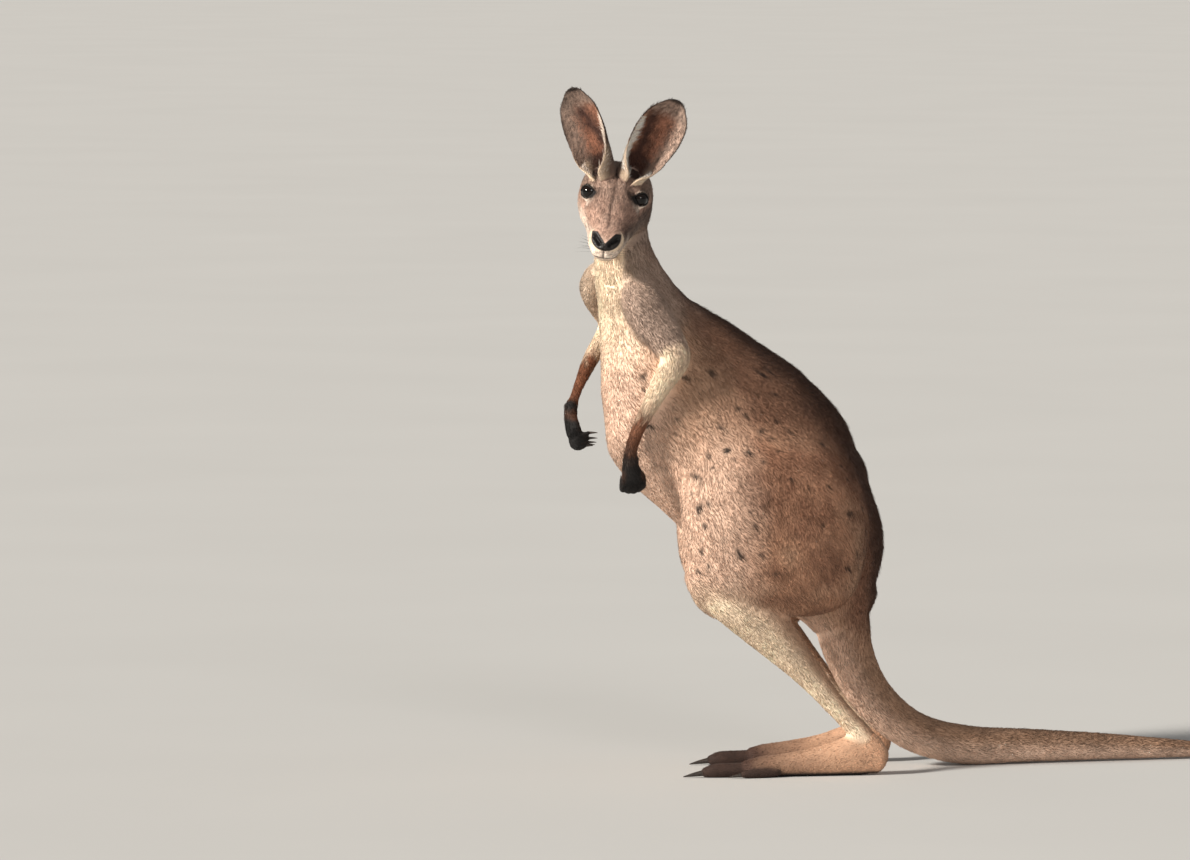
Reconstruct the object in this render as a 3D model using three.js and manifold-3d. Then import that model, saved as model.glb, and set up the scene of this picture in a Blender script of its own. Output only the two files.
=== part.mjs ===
// A life-size, still model of an adult female kangaroo that stands on both hind feet with its tail on the floor,
// its arms hanging and its head turned to its left.
//
// Units are millimetres and +Z is up. The hips face -Y, so the animal's left side is +X, and the tail lies towards +Y.
// The body is modelled whole, as rows of cross-sections carried along a line, and is then parted into named pieces by
// thin cuts. The finished group stands on the floor with its origin under the middle of its bounding box.

import * as THREE from "three";
import { ParametricGeometry } from "three/addons/geometries/ParametricGeometry.js";
import { mergeVertices } from "three/addons/utils/BufferGeometryUtils.js";
import Module from "manifold-3d";

const wasm = await Module();
wasm.setup();

// ---------------------------------------------------------------- driving dimensions

const CUT_GAP = 0.3; // clear space between neighbouring pieces
const SLIVER = 0.12; // faces flatter than this are merged after the cuts

// The cuts that part the body, each a point and the direction of the first piece.
const NECK_CUT = [[4, -230, 798], [0.1, -0.3, 1]];
const TAIL_CUTS = [
  [[0, 118, 262], [0, -0.55, 1]],
  [[-12, 262, 60], [0, -1, 0]],
  [[-44, 540, 25], [0, -1, 0]],
];
const ANKLE_CUT = [[0, 0, 80], [0, 0, 1]];

const FUR = { color: 0xb08968, roughness: 0.9 };
const EYE = { color: 0x1a120c, roughness: 0.15 };
const CLAW = { color: 0x1d1a18, roughness: 0.45 };

const EYE_RADIUS = 14.5;
const EYE_SPREAD = 38.5; // from the middle plane of the head to each eyeball's centre
const SOCKET_RADIUS = 21;
const SOCKET_SHIFT = 25; // from the eyeball's centre to the middle of the hollow outside it
const SOCKET_TURN = 43; // degrees from sideways towards the front

// The head's place: the point midway between the eyes, and how far the face is turned from the hips.
const HEAD_PLACE = [42, -260, 924];
const HEAD_TURN = 76; // degrees to the animal's left
const HEAD_BOW = 28; // degrees nose-down
const HEAD_LEAN = 8; // degrees towards the animal's left shoulder

// ---------------------------------------------------------------- cross-sections
// Each row is one cross-section: the centre x, y, z, then three half-sizes: wide (to each side), hind (towards the
// back of the trunk or limb) and fore (towards the belly or the front of the limb), then turn, the degrees by which
// the section faces to the animal's left.

const TRUNK = [
  [4, -228, 800, 52, 50, 52, 40],
  [4, -214, 742, 78, 70, 70, 34],
  [0, -178, 680, 92, 105, 131, 28],
  [0, -132, 618, 104, 134, 178, 20],
  [0, -84, 548, 115, 168, 171, 12],
  [0, -30, 464, 120, 183, 142, 4],
  [0, 26, 384, 118, 160, 136, 0],
  [0, 72, 318, 96, 134, 94, 0],
  [0, 104, 262, 64, 82, 60, 0],
];

const NECK = [
  [-14, -242, 905, 38, 48, 36, 62],
  [-8, -242, 868, 46, 48, 46, 54],
  [2, -236, 822, 54, 48, 58, 42],
  [6, -218, 760, 70, 66, 68, 34],
  [0, -190, 706, 76, 84, 76, 28],
];

const TAIL = [
  [0, 90, 320, 70, 74, 50, 0],
  [0, 112, 252, 54, 52, 48, 0],
  [0, 130, 184, 41, 42, 43, 0],
  [-4, 166, 116, 36, 38, 38, 0],
  [-12, 232, 60, 32, 35, 36, 0],
  [-22, 320, 36, 30, 32, 38, 0],
  [-34, 430, 30, 26, 29, 32, 0],
  [-44, 540, 25, 22, 25, 27, 0],
  [-50, 640, 20, 18, 20, 22, 0],
  [-52, 730, 15, 13, 15, 17, 0],
  [-52, 800, 10, 7, 8, 11, 0],
];

// The left leg. The right one is its mirror image, with the knee and the foot shifted.
const THIGH = [
  [26, 112, 512, 22, 54, 56, 0],
  [58, 84, 484, 46, 84, 86, 0],
  [84, 48, 446, 70, 140, 148, 0],
  [99, -6, 398, 76, 168, 182, 0],
  [108, -64, 354, 67, 128, 168, 0],
  [114, -110, 320, 48, 70, 104, 0],
  [116, -134, 305, 31, 34, 46, 0],
];

const SHANK = [
  [116, -126, 310, 28, 30, 34, 0],
  [114, -92, 282, 34, 50, 36, 0],
  [109, -34, 232, 33, 52, 33, 0],
  [103, 34, 166, 23, 33, 24, 0],
  [98, 88, 108, 18, 23, 20, 0],
  [96, 130, 62, 18, 24, 20, 0],
];

const FOOT = [
  [96, 162, 28, 17, 30, 20, 0],
  [96, 138, 36, 20, 39, 36, 0],
  [96, 104, 33, 21, 36, 30, 0],
  [95, 58, 26, 21, 29, 22, 0],
  [94, 8, 21, 21, 24, 18, 0],
  [93, -32, 18, 20, 21, 16, 0],
  [93, -54, 16, 17, 18, 13, 0],
];

// Each toe: the points along it, its radius, then the length and radius of its claw.
const TOES = [
  { path: [[93, -26, 12], [92, -68, 11], [91, -106, 10], [91, -122, 8]], radius: 13, claw: 36, clawRadius: 5 },
  { path: [[107, -10, 9], [112, -40, 7], [115, -66, 6]], radius: 9, claw: 24, clawRadius: 3.6 },
  { path: [[80, -14, 6], [77, -40, 4.5], [76, -60, 4]], radius: 6, claw: 15, clawRadius: 2.4 },
];

const RIGHT_KNEE = [0, 58, -44]; // how far the right knee is from where the mirrored left one would be
const RIGHT_FOOT = [0, 44, 0];

// One arm of each side, in the body's own x.
const ARM_LEFT = [
  [44, -226, 784, 20, 28, 30, 34],
  [66, -220, 756, 34, 42, 40, 32],
  [86, -204, 722, 32, 40, 40, 30],
  [102, -186, 694, 28, 33, 33, 26],
  [111, -176, 668, 24, 28, 28, 20],
  [114, -198, 626, 20, 20, 20, 14],
  [112, -225, 578, 16, 16, 16, 10],
  [110, -243, 536, 14, 14, 14, 6],
  [109, -248, 508, 13, 13, 13, 0],
];
const ARM_RIGHT = [
  [-46, -262, 800, 24, 30, 36, 34],
  [-72, -268, 774, 30, 38, 34, 30],
  [-94, -254, 745, 28, 36, 30, 34],
  [-108, -240, 716, 24, 28, 24, 38],
  [-104, -250, 694, 20, 22, 18, 42],
  [-80, -276, 658, 17, 17, 17, 46],
  [-52, -298, 624, 14, 13, 13, 50],
  [-32, -312, 598, 12, 12, 12, 52],
  [-24, -318, 584, 12, 12, 12, 52],
];

// The head in its own frame: the face looks along -Y, the origin is midway between the eyes, and x is outwards.
const HEAD = [
  [0, -99, -44, 19, 18, 19, 0],
  [0, -91, -42, 26, 25, 26, 0],
  [0, -77, -38, 31, 30, 31, 0],
  [0, -54, -33, 36, 37, 37, 0],
  [0, -28, -28, 46, 48, 46, 0],
  [0, -4, -25, 54, 55, 54, 0],
  [0, 22, -22, 60, 59, 58, 0],
  [0, 48, -18, 58, 56, 55, 0],
  [0, 72, -14, 46, 43, 40, 0],
  [0, 86, -10, 24, 22, 22, 0],
];

// The ear in its own frame: [height, half-width, half-angle of the curl], from the root to the tip.
const EAR = [
  [-18, 20, 170],
  [2, 23, 158],
  [18, 28, 120],
  [38, 34, 86],
  [62, 39, 66],
  [84, 39, 56],
  [106, 34, 47],
  [123, 22, 39],
  [132, 13, 33],
  [136, 3, 28],
];
const EAR_WALL = 3.6;
const EAR_POSES = {
  left: { root: [22, 32, 40], out: 26, back: 4, open: 6 },
  right: { root: [-22, 32, 38], out: 30, back: 6, open: 20 },
};

// Hands: the palm from the wrist to the knuckles, the line of the knuckles, and how the fingers bend.
const HANDS = {
  left: {
    palm: [[109, -246, 512], [109, -246, 496], [107, -242, 480], [106, -240, 474]],
    across: [0.1, 1, 0.12],
    fingers: [[0, 0, 0], [-2, 1, -12], [-14, 2, -17], [-21, 2, -8]],
    claw: [-0.3, 0, 0.95],
  },
  right: {
    palm: [[-24, -319, 586], [-20, -320, 568], [-15, -317, 550], [-13, -315, 543]],
    across: [0.72, 0.1, 0.62],
    fingers: [[0, 0, 0], [1, 3, -14], [2, 12, -18], [3, 20, -15]],
    claw: [0.1, 1, 0.12],
  },
};
const HAND_HALVES = [13, 15, 20, 19]; // half-widths of the palm, from the wrist to the knuckles
const HAND_DEPTH = 11;
const FINGER_RADIUS = 5.6;
const FINGER_SPREAD = [-17.5, -9, -0.5, 8, 15.5]; // along the line of the knuckles
const FINGER_RISE = [5.5, 1.8, 0.6, 2.2, 6.5]; // how far back towards the wrist each knuckle lies
const FINGER_CLAW = 15;
const FINGER_CLAW_RADIUS = 2.3;

// ---------------------------------------------------------------- solids

const radians = THREE.MathUtils.degToRad;
const vector = (triple) => new THREE.Vector3(...triple);
const spline = (rows) => new THREE.CatmullRomCurve3(rows.map(vector), false, "catmullrom");

// A solid whose sections follow the rows, closed at both ends by a dome. `grow` adds to every half-size, `square`
// is the power of the section's rounded outline, and `across` replaces the row's turn as the sections' left side.
function limb(rows, { sides = 16, perSpan = 2, domeRows = 2, dome = 0.8, grow = 0, square = 2, across } = {}) {
  const line = spline(rows.map((row) => row.slice(0, 3)));
  const halves = spline(rows.map((row) => row.slice(3, 6)));
  const turns = spline(rows.map((row) => [row[6], 0, 0]));
  const bodyRows = (rows.length - 1) * perSpan;
  const allRows = bodyRows + 2 * domeRows;
  const rounded = (value) => Math.sign(value) * Math.abs(value) ** (2 / square);

  const surface = (around, along, target) => {
    const row = along * allRows - domeRows;
    const t = THREE.MathUtils.clamp(row / bodyRows, 0, 1);
    const past = row < 0 ? row : Math.max(row - bodyRows, 0);
    const lift = (past / domeRows) * (Math.PI / 2);
    const shrink = Math.abs(past) > domeRows - 1e-6 ? 0 : Math.cos(lift);
    const tangent = line.getTangent(t);
    const turn = radians(turns.getPoint(t).x);
    const left = across ? vector(across) : new THREE.Vector3(Math.cos(turn), Math.sin(turn), 0);
    left.addScaledVector(tangent, -left.dot(tangent)).normalize();
    const back = new THREE.Vector3().crossVectors(left, tangent);
    const half = halves.getPoint(t);
    const angle = -around * 2 * Math.PI;
    const sideways = rounded(Math.cos(angle)) * (half.x + grow) * shrink;
    const depth = rounded(Math.sin(angle)) * shrink;
    const reach = depth > 0 ? half.y + grow : half.z + grow;
    const domeLength = (Math.min(half.x, half.y, half.z) + grow) * dome;
    target
      .copy(line.getPoint(t))
      .addScaledVector(left, sideways)
      .addScaledVector(back, depth * reach)
      .addScaledVector(tangent, domeLength * Math.sin(lift));
  };
  return solidOf(new ParametricGeometry(surface, sides, allRows));
}

// A round-sectioned solid through the points, with one radius for each.
function strand(points, radii, options) {
  return limb(
    points.map((point, i) => [...point, radii[i], radii[i], radii[i], 0]),
    { sides: 6, perSpan: 1, domeRows: 1, ...options },
  );
}

// A closed geometry as a solid: vertices at the same place become one, and the collapsed faces are left out.
function solidOf(geometry, matrix = new THREE.Matrix4()) {
  const bare = geometry.clone().applyMatrix4(matrix);
  bare.deleteAttribute("normal");
  bare.deleteAttribute("uv");
  const merged = mergeVertices(bare, 1e-3);
  const corners = merged.index.array;
  const kept = [];
  for (let i = 0; i < corners.length; i += 3) {
    const [a, b, c] = corners.slice(i, i + 3);
    if (a !== b && b !== c && c !== a) {
      kept.push(a, b, c);
    }
  }
  const vertProperties = merged.attributes.position.array;
  return new wasm.Manifold(new wasm.Mesh({ numProp: 3, vertProperties, triVerts: new Uint32Array(kept) }));
}

const mirrored = (rows) => rows.map(([x, y, z, ...rest]) => [-x, y, z, ...rest]);
const joined = (solids) => solids.reduce((all, one) => all.add(one));

// The largest body of a solid that a cut has left in several.
const largest = (solid) => solid.decompose().reduce((best, one) => (one.volume() > best.volume() ? one : best));

// The two halves of a solid parted by a plane through `point`: first the one that `normal` points into.
function parted(solid, point, normal) {
  const n = vector(normal).normalize();
  const at = n.dot(vector(point));
  return [
    largest(solid.trimByPlane([n.x, n.y, n.z], at + CUT_GAP / 2)),
    largest(solid.trimByPlane([-n.x, -n.y, -n.z], CUT_GAP / 2 - at)),
  ];
}

const onFloor = (solid) => solid.trimByPlane([0, 0, 1], 0);

const group = new THREE.Group();

function addNode(name, solid, { color, roughness }) {
  const { vertProperties, triVerts } = solid.simplify(SLIVER).getMesh();
  const geometry = new THREE.BufferGeometry();
  geometry.setAttribute("position", new THREE.BufferAttribute(vertProperties, 3));
  geometry.setIndex(new THREE.BufferAttribute(triVerts, 1));
  const mesh = new THREE.Mesh(geometry, new THREE.MeshStandardMaterial({ color, roughness, metalness: 0 }));
  mesh.name = name;
  group.add(mesh);
}

// ---------------------------------------------------------------- head, eyes and ears

const headPose = new THREE.Matrix4().compose(
  vector(HEAD_PLACE),
  new THREE.Quaternion().setFromEuler(
    new THREE.Euler(radians(HEAD_BOW), radians(HEAD_LEAN), radians(HEAD_TURN), "ZYX"),
  ),
  new THREE.Vector3(1, 1, 1),
);

function headSolid(grow = 0) {
  return limb(HEAD, { sides: 20, perSpan: 1, dome: 0.6, square: 2.3, grow }).transform(headPose.elements);
}

function ball(centre, radius, segments) {
  const matrix = new THREE.Matrix4().makeTranslation(centre);
  return solidOf(new THREE.SphereGeometry(radius, segments, Math.round(segments * 0.7)), matrix);
}

const eyeCentre = (side) => new THREE.Vector3(side * EYE_SPREAD, 0, 0).applyMatrix4(headPose);

// The hollow on the outer side of each eye, between the lids.
function socket(side) {
  const out = new THREE.Vector3(side * Math.cos(radians(SOCKET_TURN)), -Math.sin(radians(SOCKET_TURN)), 0.05);
  const centre = new THREE.Vector3(side * EYE_SPREAD, 0, 0).addScaledVector(out, SOCKET_SHIFT);
  return ball(centre.applyMatrix4(headPose), SOCKET_RADIUS, 9);
}

// The ear is a curled leaf with a thick wall. Its section is an arc, walked along the outside and back inside.
function earSolid(name) {
  const side = name === "left" ? 1 : -1;
  const { root, out, back, open } = EAR_POSES[name];
  const shape = spline(EAR);
  const surface = (around, along, target) => {
    const { x: height, y: halfWidth, z: curl } = shape.getPoint(along);
    const sweep = around < 0.5 ? 1 - 4 * around : 4 * around - 3;
    const wall = along > 0 && along < 1 ? (EAR_WALL / 2) * Math.sqrt(1 - sweep ** 2) : 0;
    const radius = halfWidth / Math.sin(radians(Math.min(curl, 90)));
    const reach = radius + (around < 0.5 ? wall : -wall);
    const angle = sweep * radians(curl);
    target.set(reach * Math.sin(angle), reach * Math.cos(angle) - radius * 0.8, height);
  };
  const pose = new THREE.Matrix4().compose(
    vector(root),
    new THREE.Quaternion().setFromEuler(
      new THREE.Euler(-radians(back), side * radians(out), side * radians(open), "YXZ"),
    ),
    new THREE.Vector3(1, 1, 1),
  );
  return solidOf(new ParametricGeometry(surface, 16, EAR.length - 1), headPose.clone().multiply(pose));
}

const head = largest(
  [1, -1].reduce((solid, side) => {
    const eyeRoom = ball(eyeCentre(side), EYE_RADIUS + CUT_GAP, 12);
    return solid.subtract(eyeRoom).subtract(socket(side));
  }, headSolid()),
);
const headRoom = headSolid(CUT_GAP);
addNode("head", head, FUR);
addNode("eye_left", ball(eyeCentre(1), EYE_RADIUS, 12), EYE);
addNode("eye_right", ball(eyeCentre(-1), EYE_RADIUS, 12), EYE);
for (const name of ["left", "right"]) {
  addNode("ear_" + name, largest(earSolid(name).subtract(headRoom)), FUR);
}

// ---------------------------------------------------------------- trunk, neck and tail

const TORSO = { sides: 20, perSpan: 1 };
const NAPE = { sides: 16, perSpan: 1 };
const TAIL_SIDES = { sides: 10, perSpan: 1 };
const axis = joined([limb(TRUNK, TORSO), limb(NECK, NAPE), onFloor(limb(TAIL, TAIL_SIDES))]);
const [neck, belowNeck] = parted(axis, ...NECK_CUT);
const [trunk, tail] = parted(belowNeck, ...TAIL_CUTS[0]);
const [tailRoot, tailRest] = parted(tail, ...TAIL_CUTS[1]);
const [tailMiddle, tailTip] = parted(tailRest, ...TAIL_CUTS[2]);
addNode("neck", largest(neck.subtract(headRoom)), FUR);
addNode("trunk", trunk, FUR);
addNode("tail_root", tailRoot, FUR);
addNode("tail_middle", tailMiddle, FUR);
addNode("tail_tip", tailTip, FUR);

const torsoRoom = joined([
  limb(TRUNK, { ...TORSO, grow: CUT_GAP }),
  limb(NECK, { ...NAPE, grow: CUT_GAP }),
  limb(TAIL, { ...TAIL_SIDES, grow: CUT_GAP }),
]);

// ---------------------------------------------------------------- claws

// A claw is a tapered hook that starts inside the digit.
function clawSolid(base, direction, length, radius, grow = 0) {
  const along = vector(direction).normalize();
  const at = (step, drop) => vector(base).addScaledVector(along, step * length).add(new THREE.Vector3(0, 0, drop));
  const points = [at(-0.35, 0), at(0.25, 0.04 * length), at(0.65, 0), at(1, -0.14 * length)];
  return strand(
    points.map((point) => point.toArray()),
    [radius * 0.8, radius, radius * 0.72, radius * 0.25],
    { sides: 5, grow },
  );
}

// Sets the claws into a hand or foot, adds a node for each, and returns the hand or foot with room for them.
function withClaws(solid, claws, name) {
  return claws.reduce((rest, { base, direction, length, radius }, i) => {
    addNode(`${name}_${i + 1}`, onFloor(clawSolid(base, direction, length, radius)), CLAW);
    return rest.subtract(clawSolid(base, direction, length, radius, CUT_GAP));
  }, solid);
}

// ---------------------------------------------------------------- legs

// Shifts each row by a share of the shift at its end: from `start` at the first row to `end` at the last.
const shifted = (rows, start, end) =>
  rows.map((row, i) => {
    const share = (i / Math.max(rows.length - 1, 1)) ** 0.6;
    return row.map((value, k) => (k < 3 ? value + start[k] * (1 - share) + end[k] * share : value));
  });

const THIGH_SIDES = { sides: 18, perSpan: 1 };
for (const name of ["left", "right"]) {
  const own = name === "left";
  const still = [0, 0, 0];
  const knee = own ? still : RIGHT_KNEE;
  const sole = own ? still : RIGHT_FOOT;
  const place = (rows, start, end) => {
    const set = shifted(rows, start, end);
    return own ? set : mirrored(set);
  };
  const toes = TOES.map((toe) => ({ ...toe, path: place(toe.path, sole, sole) }));
  const thighRows = place(THIGH, still, knee);
  const lower = joined([
    limb(place(SHANK, knee, sole), { sides: 10, perSpan: 1 }),
    limb(place(FOOT, sole, sole), { sides: 12, perSpan: 1 }),
    ...toes.map(({ path, radius }) => strand(path, path.map((_, i) => radius * (i < path.length - 1 ? 1 : 0.75)))),
  ]);
  const [shank, foot] = parted(onFloor(lower), ...ANKLE_CUT);
  const claws = toes.map(({ path, claw, clawRadius }) => ({
    base: path.at(-1),
    direction: [0, -1, -0.12],
    length: claw,
    radius: clawRadius,
  }));
  addNode("thigh_" + name, largest(limb(thighRows, THIGH_SIDES).subtract(torsoRoom)), FUR);
  addNode("shank_" + name, largest(shank.subtract(limb(thighRows, { ...THIGH_SIDES, grow: CUT_GAP }))), FUR);
  addNode("foot_" + name, withClaws(foot, claws, "toe_claw_" + name), FUR);
}

// ---------------------------------------------------------------- arms

for (const [name, rows] of Object.entries({ left: ARM_LEFT, right: ARM_RIGHT })) {
  const { palm, across, fingers, claw } = HANDS[name];
  const line = vector(across).normalize();
  const down = vector(palm.at(-1)).sub(vector(palm.at(-2))).normalize();
  const paths = FINGER_SPREAD.map((spread, i) =>
    fingers.map((step) =>
      vector(palm.at(-1)).add(vector(step)).addScaledVector(line, spread).addScaledVector(down, -FINGER_RISE[i]).toArray(),
    ),
  );
  const hand = joined([
    limb(
      palm.map((point, i) => [...point, HAND_HALVES[i], HAND_DEPTH, HAND_DEPTH, 0]),
      { sides: 10, perSpan: 1, across },
    ),
    ...paths.map((path) => strand(path, [1, 1, 0.95, 0.8].map((share) => share * FINGER_RADIUS))),
  ]);
  const arm = limb(rows, { sides: 12, perSpan: 1 }).add(hand);
  const [upper, lower] = parted(arm, rows[4].slice(0, 3), [0, 0.3, 1]);
  const [fore, paw] = parted(lower, palm[1], [0, 0, 1]);
  const claws = paths.map((path) => ({
    base: path.at(-1),
    direction: claw,
    length: FINGER_CLAW,
    radius: FINGER_CLAW_RADIUS,
  }));
  addNode("upper_arm_" + name, largest(upper.subtract(torsoRoom)), FUR);
  addNode("forearm_" + name, largest(fore.subtract(torsoRoom)), FUR);
  addNode("hand_" + name, withClaws(paw, claws, "finger_claw_" + name), FUR);
}

// ---------------------------------------------------------------- the finished group

const bounds = new THREE.Box3().setFromObject(group);
const middle = bounds.getCenter(new THREE.Vector3());
for (const mesh of group.children) {
  mesh.geometry.translate(-middle.x, -middle.y, -bounds.min.z);
}

export default group;
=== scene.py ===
# %% [markdown]
# # A life-size kangaroo: one skin, a coat of mesh tufts, eyes and claws
#
# The animal stands upright on its hind feet, rests its tail on the floor and turns its head to its left.
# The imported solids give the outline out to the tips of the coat. Here one continuous skin is laid just
# inside that outline, and thousands of thin curved tufts are rooted on it, so the coat's tips come back
# out to the solids.
#
# Body sizes are in millimetres, as an animal modeller notes them, and become metres when a mesh is made.

import bmesh
import bpy
import numpy as np
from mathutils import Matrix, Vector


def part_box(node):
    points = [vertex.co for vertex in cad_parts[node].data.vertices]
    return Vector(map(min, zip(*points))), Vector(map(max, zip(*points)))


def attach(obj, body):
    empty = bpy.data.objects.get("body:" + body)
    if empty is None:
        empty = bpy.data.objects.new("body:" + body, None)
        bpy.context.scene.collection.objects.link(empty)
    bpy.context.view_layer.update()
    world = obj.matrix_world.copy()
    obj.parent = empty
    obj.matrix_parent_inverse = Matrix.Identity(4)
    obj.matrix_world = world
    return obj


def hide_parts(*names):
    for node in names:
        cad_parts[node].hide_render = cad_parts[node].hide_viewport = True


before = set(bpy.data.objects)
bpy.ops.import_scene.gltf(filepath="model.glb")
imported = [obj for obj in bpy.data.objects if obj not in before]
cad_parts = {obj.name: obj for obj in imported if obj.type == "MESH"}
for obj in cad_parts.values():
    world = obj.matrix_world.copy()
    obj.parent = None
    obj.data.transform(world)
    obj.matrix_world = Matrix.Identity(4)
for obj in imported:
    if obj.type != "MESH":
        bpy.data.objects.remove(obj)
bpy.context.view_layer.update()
MM = 0.001
SIGN = {"left": 1, "right": -1}  # the animal's left is towards +X when it faces -Y


# %% [markdown]
# ## Small helpers
#
# A surface that follows a few given stations needs a smooth line through them. The Catmull-Rom
# spline passes through every station, so what is written in the tables is what the body has there.

# %% Numbers and smooth lines
def unit(vectors):
    """v / |v| for each row."""
    return vectors / np.maximum(np.linalg.norm(vectors, axis=-1, keepdims=True), 1e-9)


def smoothstep(low, high, value):
    """3t² − 2t³, where t runs from 0 at low to 1 at high."""
    t = np.clip((value - low) / (high - low), 0, 1)
    return t * t * (3 - 2 * t)


def bell(value, width):
    """exp(−(value / width)²): 1 in the middle, near 0 past twice the width."""
    return np.exp(-((value / width) ** 2))


def mix(a, b, share):
    """a·(1 − share) + b·share, for one share per row."""
    share = np.asarray(share)[..., None] if np.ndim(share) else share
    return a * (1 - share) + b * share


def painted(colour, *coats):
    """Lays coats over a colour in turn, each given as its own colour and its share at every point."""
    for over, share in coats:
        colour = mix(colour, over, share)
    return colour


def distance(points, centre, stretch=(1, 1, 1)):
    """|(p − centre)·stretch| for each point."""
    return np.linalg.norm((points - np.asarray(centre)) * stretch, axis=-1)


def catmull(rows, share):
    """The Catmull-Rom curve through the rows, at shares 0 to 1 of its whole run."""
    rows = np.asarray(rows, float)
    padded = np.vstack([2 * rows[0] - rows[1], rows, 2 * rows[-1] - rows[-2]])
    run = np.clip(np.asarray(share, float), 0, 1) * (len(rows) - 1)
    span = np.minimum(run.astype(int), len(rows) - 2)
    t = (run - span)[..., None]
    before, start, end, after = (padded[span + k] for k in range(4))
    leave, arrive = (end - before) / 2, (after - start) / 2
    return (
        (2 * start - 2 * end + leave + arrive) * t**3
        + (3 * end - 3 * start - 2 * leave - arrive) * t**2
        + leave * t
        + start
    )


NOISE_CELLS = 32  # the lattice repeats after so many cells


def noise(points, size, seed):
    """Smooth noise from 0 to 1: random values on a lattice of that size in mm, blended by smoothstep
    between them."""
    lattice = np.random.default_rng(seed).random((NOISE_CELLS, NOISE_CELLS, NOISE_CELLS))
    place = np.asarray(points) / size
    cell = np.floor(place).astype(int)
    t = place - cell
    t = t * t * (3 - 2 * t)
    total = 0
    for corner in np.ndindex(2, 2, 2):
        near = (cell + corner) % NOISE_CELLS
        weight = np.prod(np.where(np.array(corner) == 1, t, 1 - t), axis=-1)
        total = total + weight * lattice[near[..., 0], near[..., 1], near[..., 2]]
    return total


def tint(*rgb):
    """A colour written as 0 to 255 screen values, as the linear values that the shader works in."""
    share = np.array(rgb) / 255
    return np.where(share <= 0.04045, share / 12.92, ((share + 0.055) / 1.055) ** 2.4)


# %% [markdown]
# ## The body's stations
#
# Each row is one cross-section: the centre x, y, z, then the half-sizes to each side, towards the back
# and towards the front, then the degrees by which the section is turned to the animal's left. The hips
# face -Y.

# %% Stations of the trunk, neck, tail and legs
TRUNK = [
    [4, -228, 800, 52, 50, 52, 40],
    [4, -214, 742, 78, 70, 70, 34],
    [0, -178, 680, 92, 105, 131, 28],
    [0, -132, 618, 104, 134, 178, 20],
    [0, -84, 548, 115, 168, 171, 12],
    [0, -30, 464, 120, 183, 142, 4],
    [0, 26, 384, 118, 160, 136, 0],
    [0, 72, 318, 96, 134, 94, 0],
    [0, 104, 262, 64, 82, 60, 0],
]
NECK = [
    [-14, -242, 905, 38, 48, 36, 62],
    [-8, -242, 868, 46, 48, 46, 54],
    [2, -236, 822, 54, 48, 58, 42],
    [6, -218, 760, 70, 66, 68, 34],
    [0, -190, 706, 76, 84, 76, 28],
]
TAIL = [
    [0, 90, 320, 70, 74, 50, 0],
    [0, 112, 252, 54, 52, 48, 0],
    [0, 130, 184, 41, 42, 43, 0],
    [-4, 166, 116, 36, 38, 38, 0],
    [-12, 232, 60, 32, 35, 36, 0],
    [-22, 320, 36, 30, 32, 38, 0],
    [-34, 430, 30, 26, 29, 32, 0],
    [-44, 540, 25, 22, 25, 27, 0],
    [-50, 640, 20, 18, 20, 22, 0],
    [-52, 730, 15, 13, 15, 17, 0],
    [-52, 800, 10, 7, 8, 11, 0],
]
THIGH = [
    [26, 112, 512, 22, 54, 56, 0],
    [58, 84, 484, 46, 84, 86, 0],
    [84, 48, 446, 70, 140, 148, 0],
    [99, -6, 398, 76, 168, 182, 0],
    [108, -64, 354, 67, 128, 168, 0],
    [114, -110, 320, 48, 70, 104, 0],
    [116, -134, 305, 31, 34, 46, 0],
]
SHANK = [
    [116, -126, 310, 28, 30, 34, 0],
    [114, -92, 282, 34, 50, 36, 0],
    [109, -34, 232, 33, 52, 33, 0],
    [103, 34, 166, 23, 33, 24, 0],
    [98, 88, 108, 18, 23, 20, 0],
    [96, 130, 62, 18, 24, 20, 0],
]
FOOT = [
    [96, 162, 28, 17, 30, 20, 0],
    [96, 138, 36, 20, 39, 36, 0],
    [96, 104, 33, 21, 36, 30, 0],
    [95, 58, 26, 21, 29, 22, 0],
    [94, 8, 21, 21, 24, 18, 0],
    [93, -32, 18, 20, 21, 16, 0],
    [93, -54, 16, 17, 18, 13, 0],
]
TOES = [  # the points along each toe, its radius, then its claw's length and radius
    ([[93, -26, 12], [92, -68, 11], [91, -106, 10], [91, -122, 8]], 13, 36, 5),
    ([[107, -10, 9], [112, -40, 7], [115, -66, 6]], 9, 24, 3.6),
    ([[80, -14, 6], [77, -40, 4.5], [76, -60, 4]], 6, 15, 2.4),
]
TOE_CLAW_WAY = [0, -1, -0.12]
RIGHT_KNEE = [0, 58, -44]  # how far the right knee is from the mirrored left one
RIGHT_FOOT = [0, 44, 0]

# %% Stations of the arms, hands, head and ears
ARMS = {
    "left": [
        [44, -226, 784, 20, 28, 30, 34],
        [66, -220, 756, 34, 42, 40, 32],
        [86, -204, 722, 32, 40, 40, 30],
        [102, -186, 694, 28, 33, 33, 26],
        [111, -176, 668, 24, 28, 28, 20],
        [114, -198, 626, 20, 20, 20, 14],
        [112, -225, 578, 16, 16, 16, 10],
        [110, -243, 536, 14, 14, 14, 6],
        [109, -248, 508, 13, 13, 13, 0],
    ],
    "right": [
        [-46, -262, 800, 24, 30, 36, 34],
        [-72, -268, 774, 30, 38, 34, 30],
        [-94, -254, 745, 28, 36, 30, 34],
        [-108, -240, 716, 24, 28, 24, 38],
        [-104, -250, 694, 20, 22, 18, 42],
        [-80, -276, 658, 17, 17, 17, 46],
        [-52, -298, 624, 14, 13, 13, 50],
        [-32, -312, 598, 12, 12, 12, 52],
        [-24, -318, 584, 12, 12, 12, 52],
    ],
}
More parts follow.
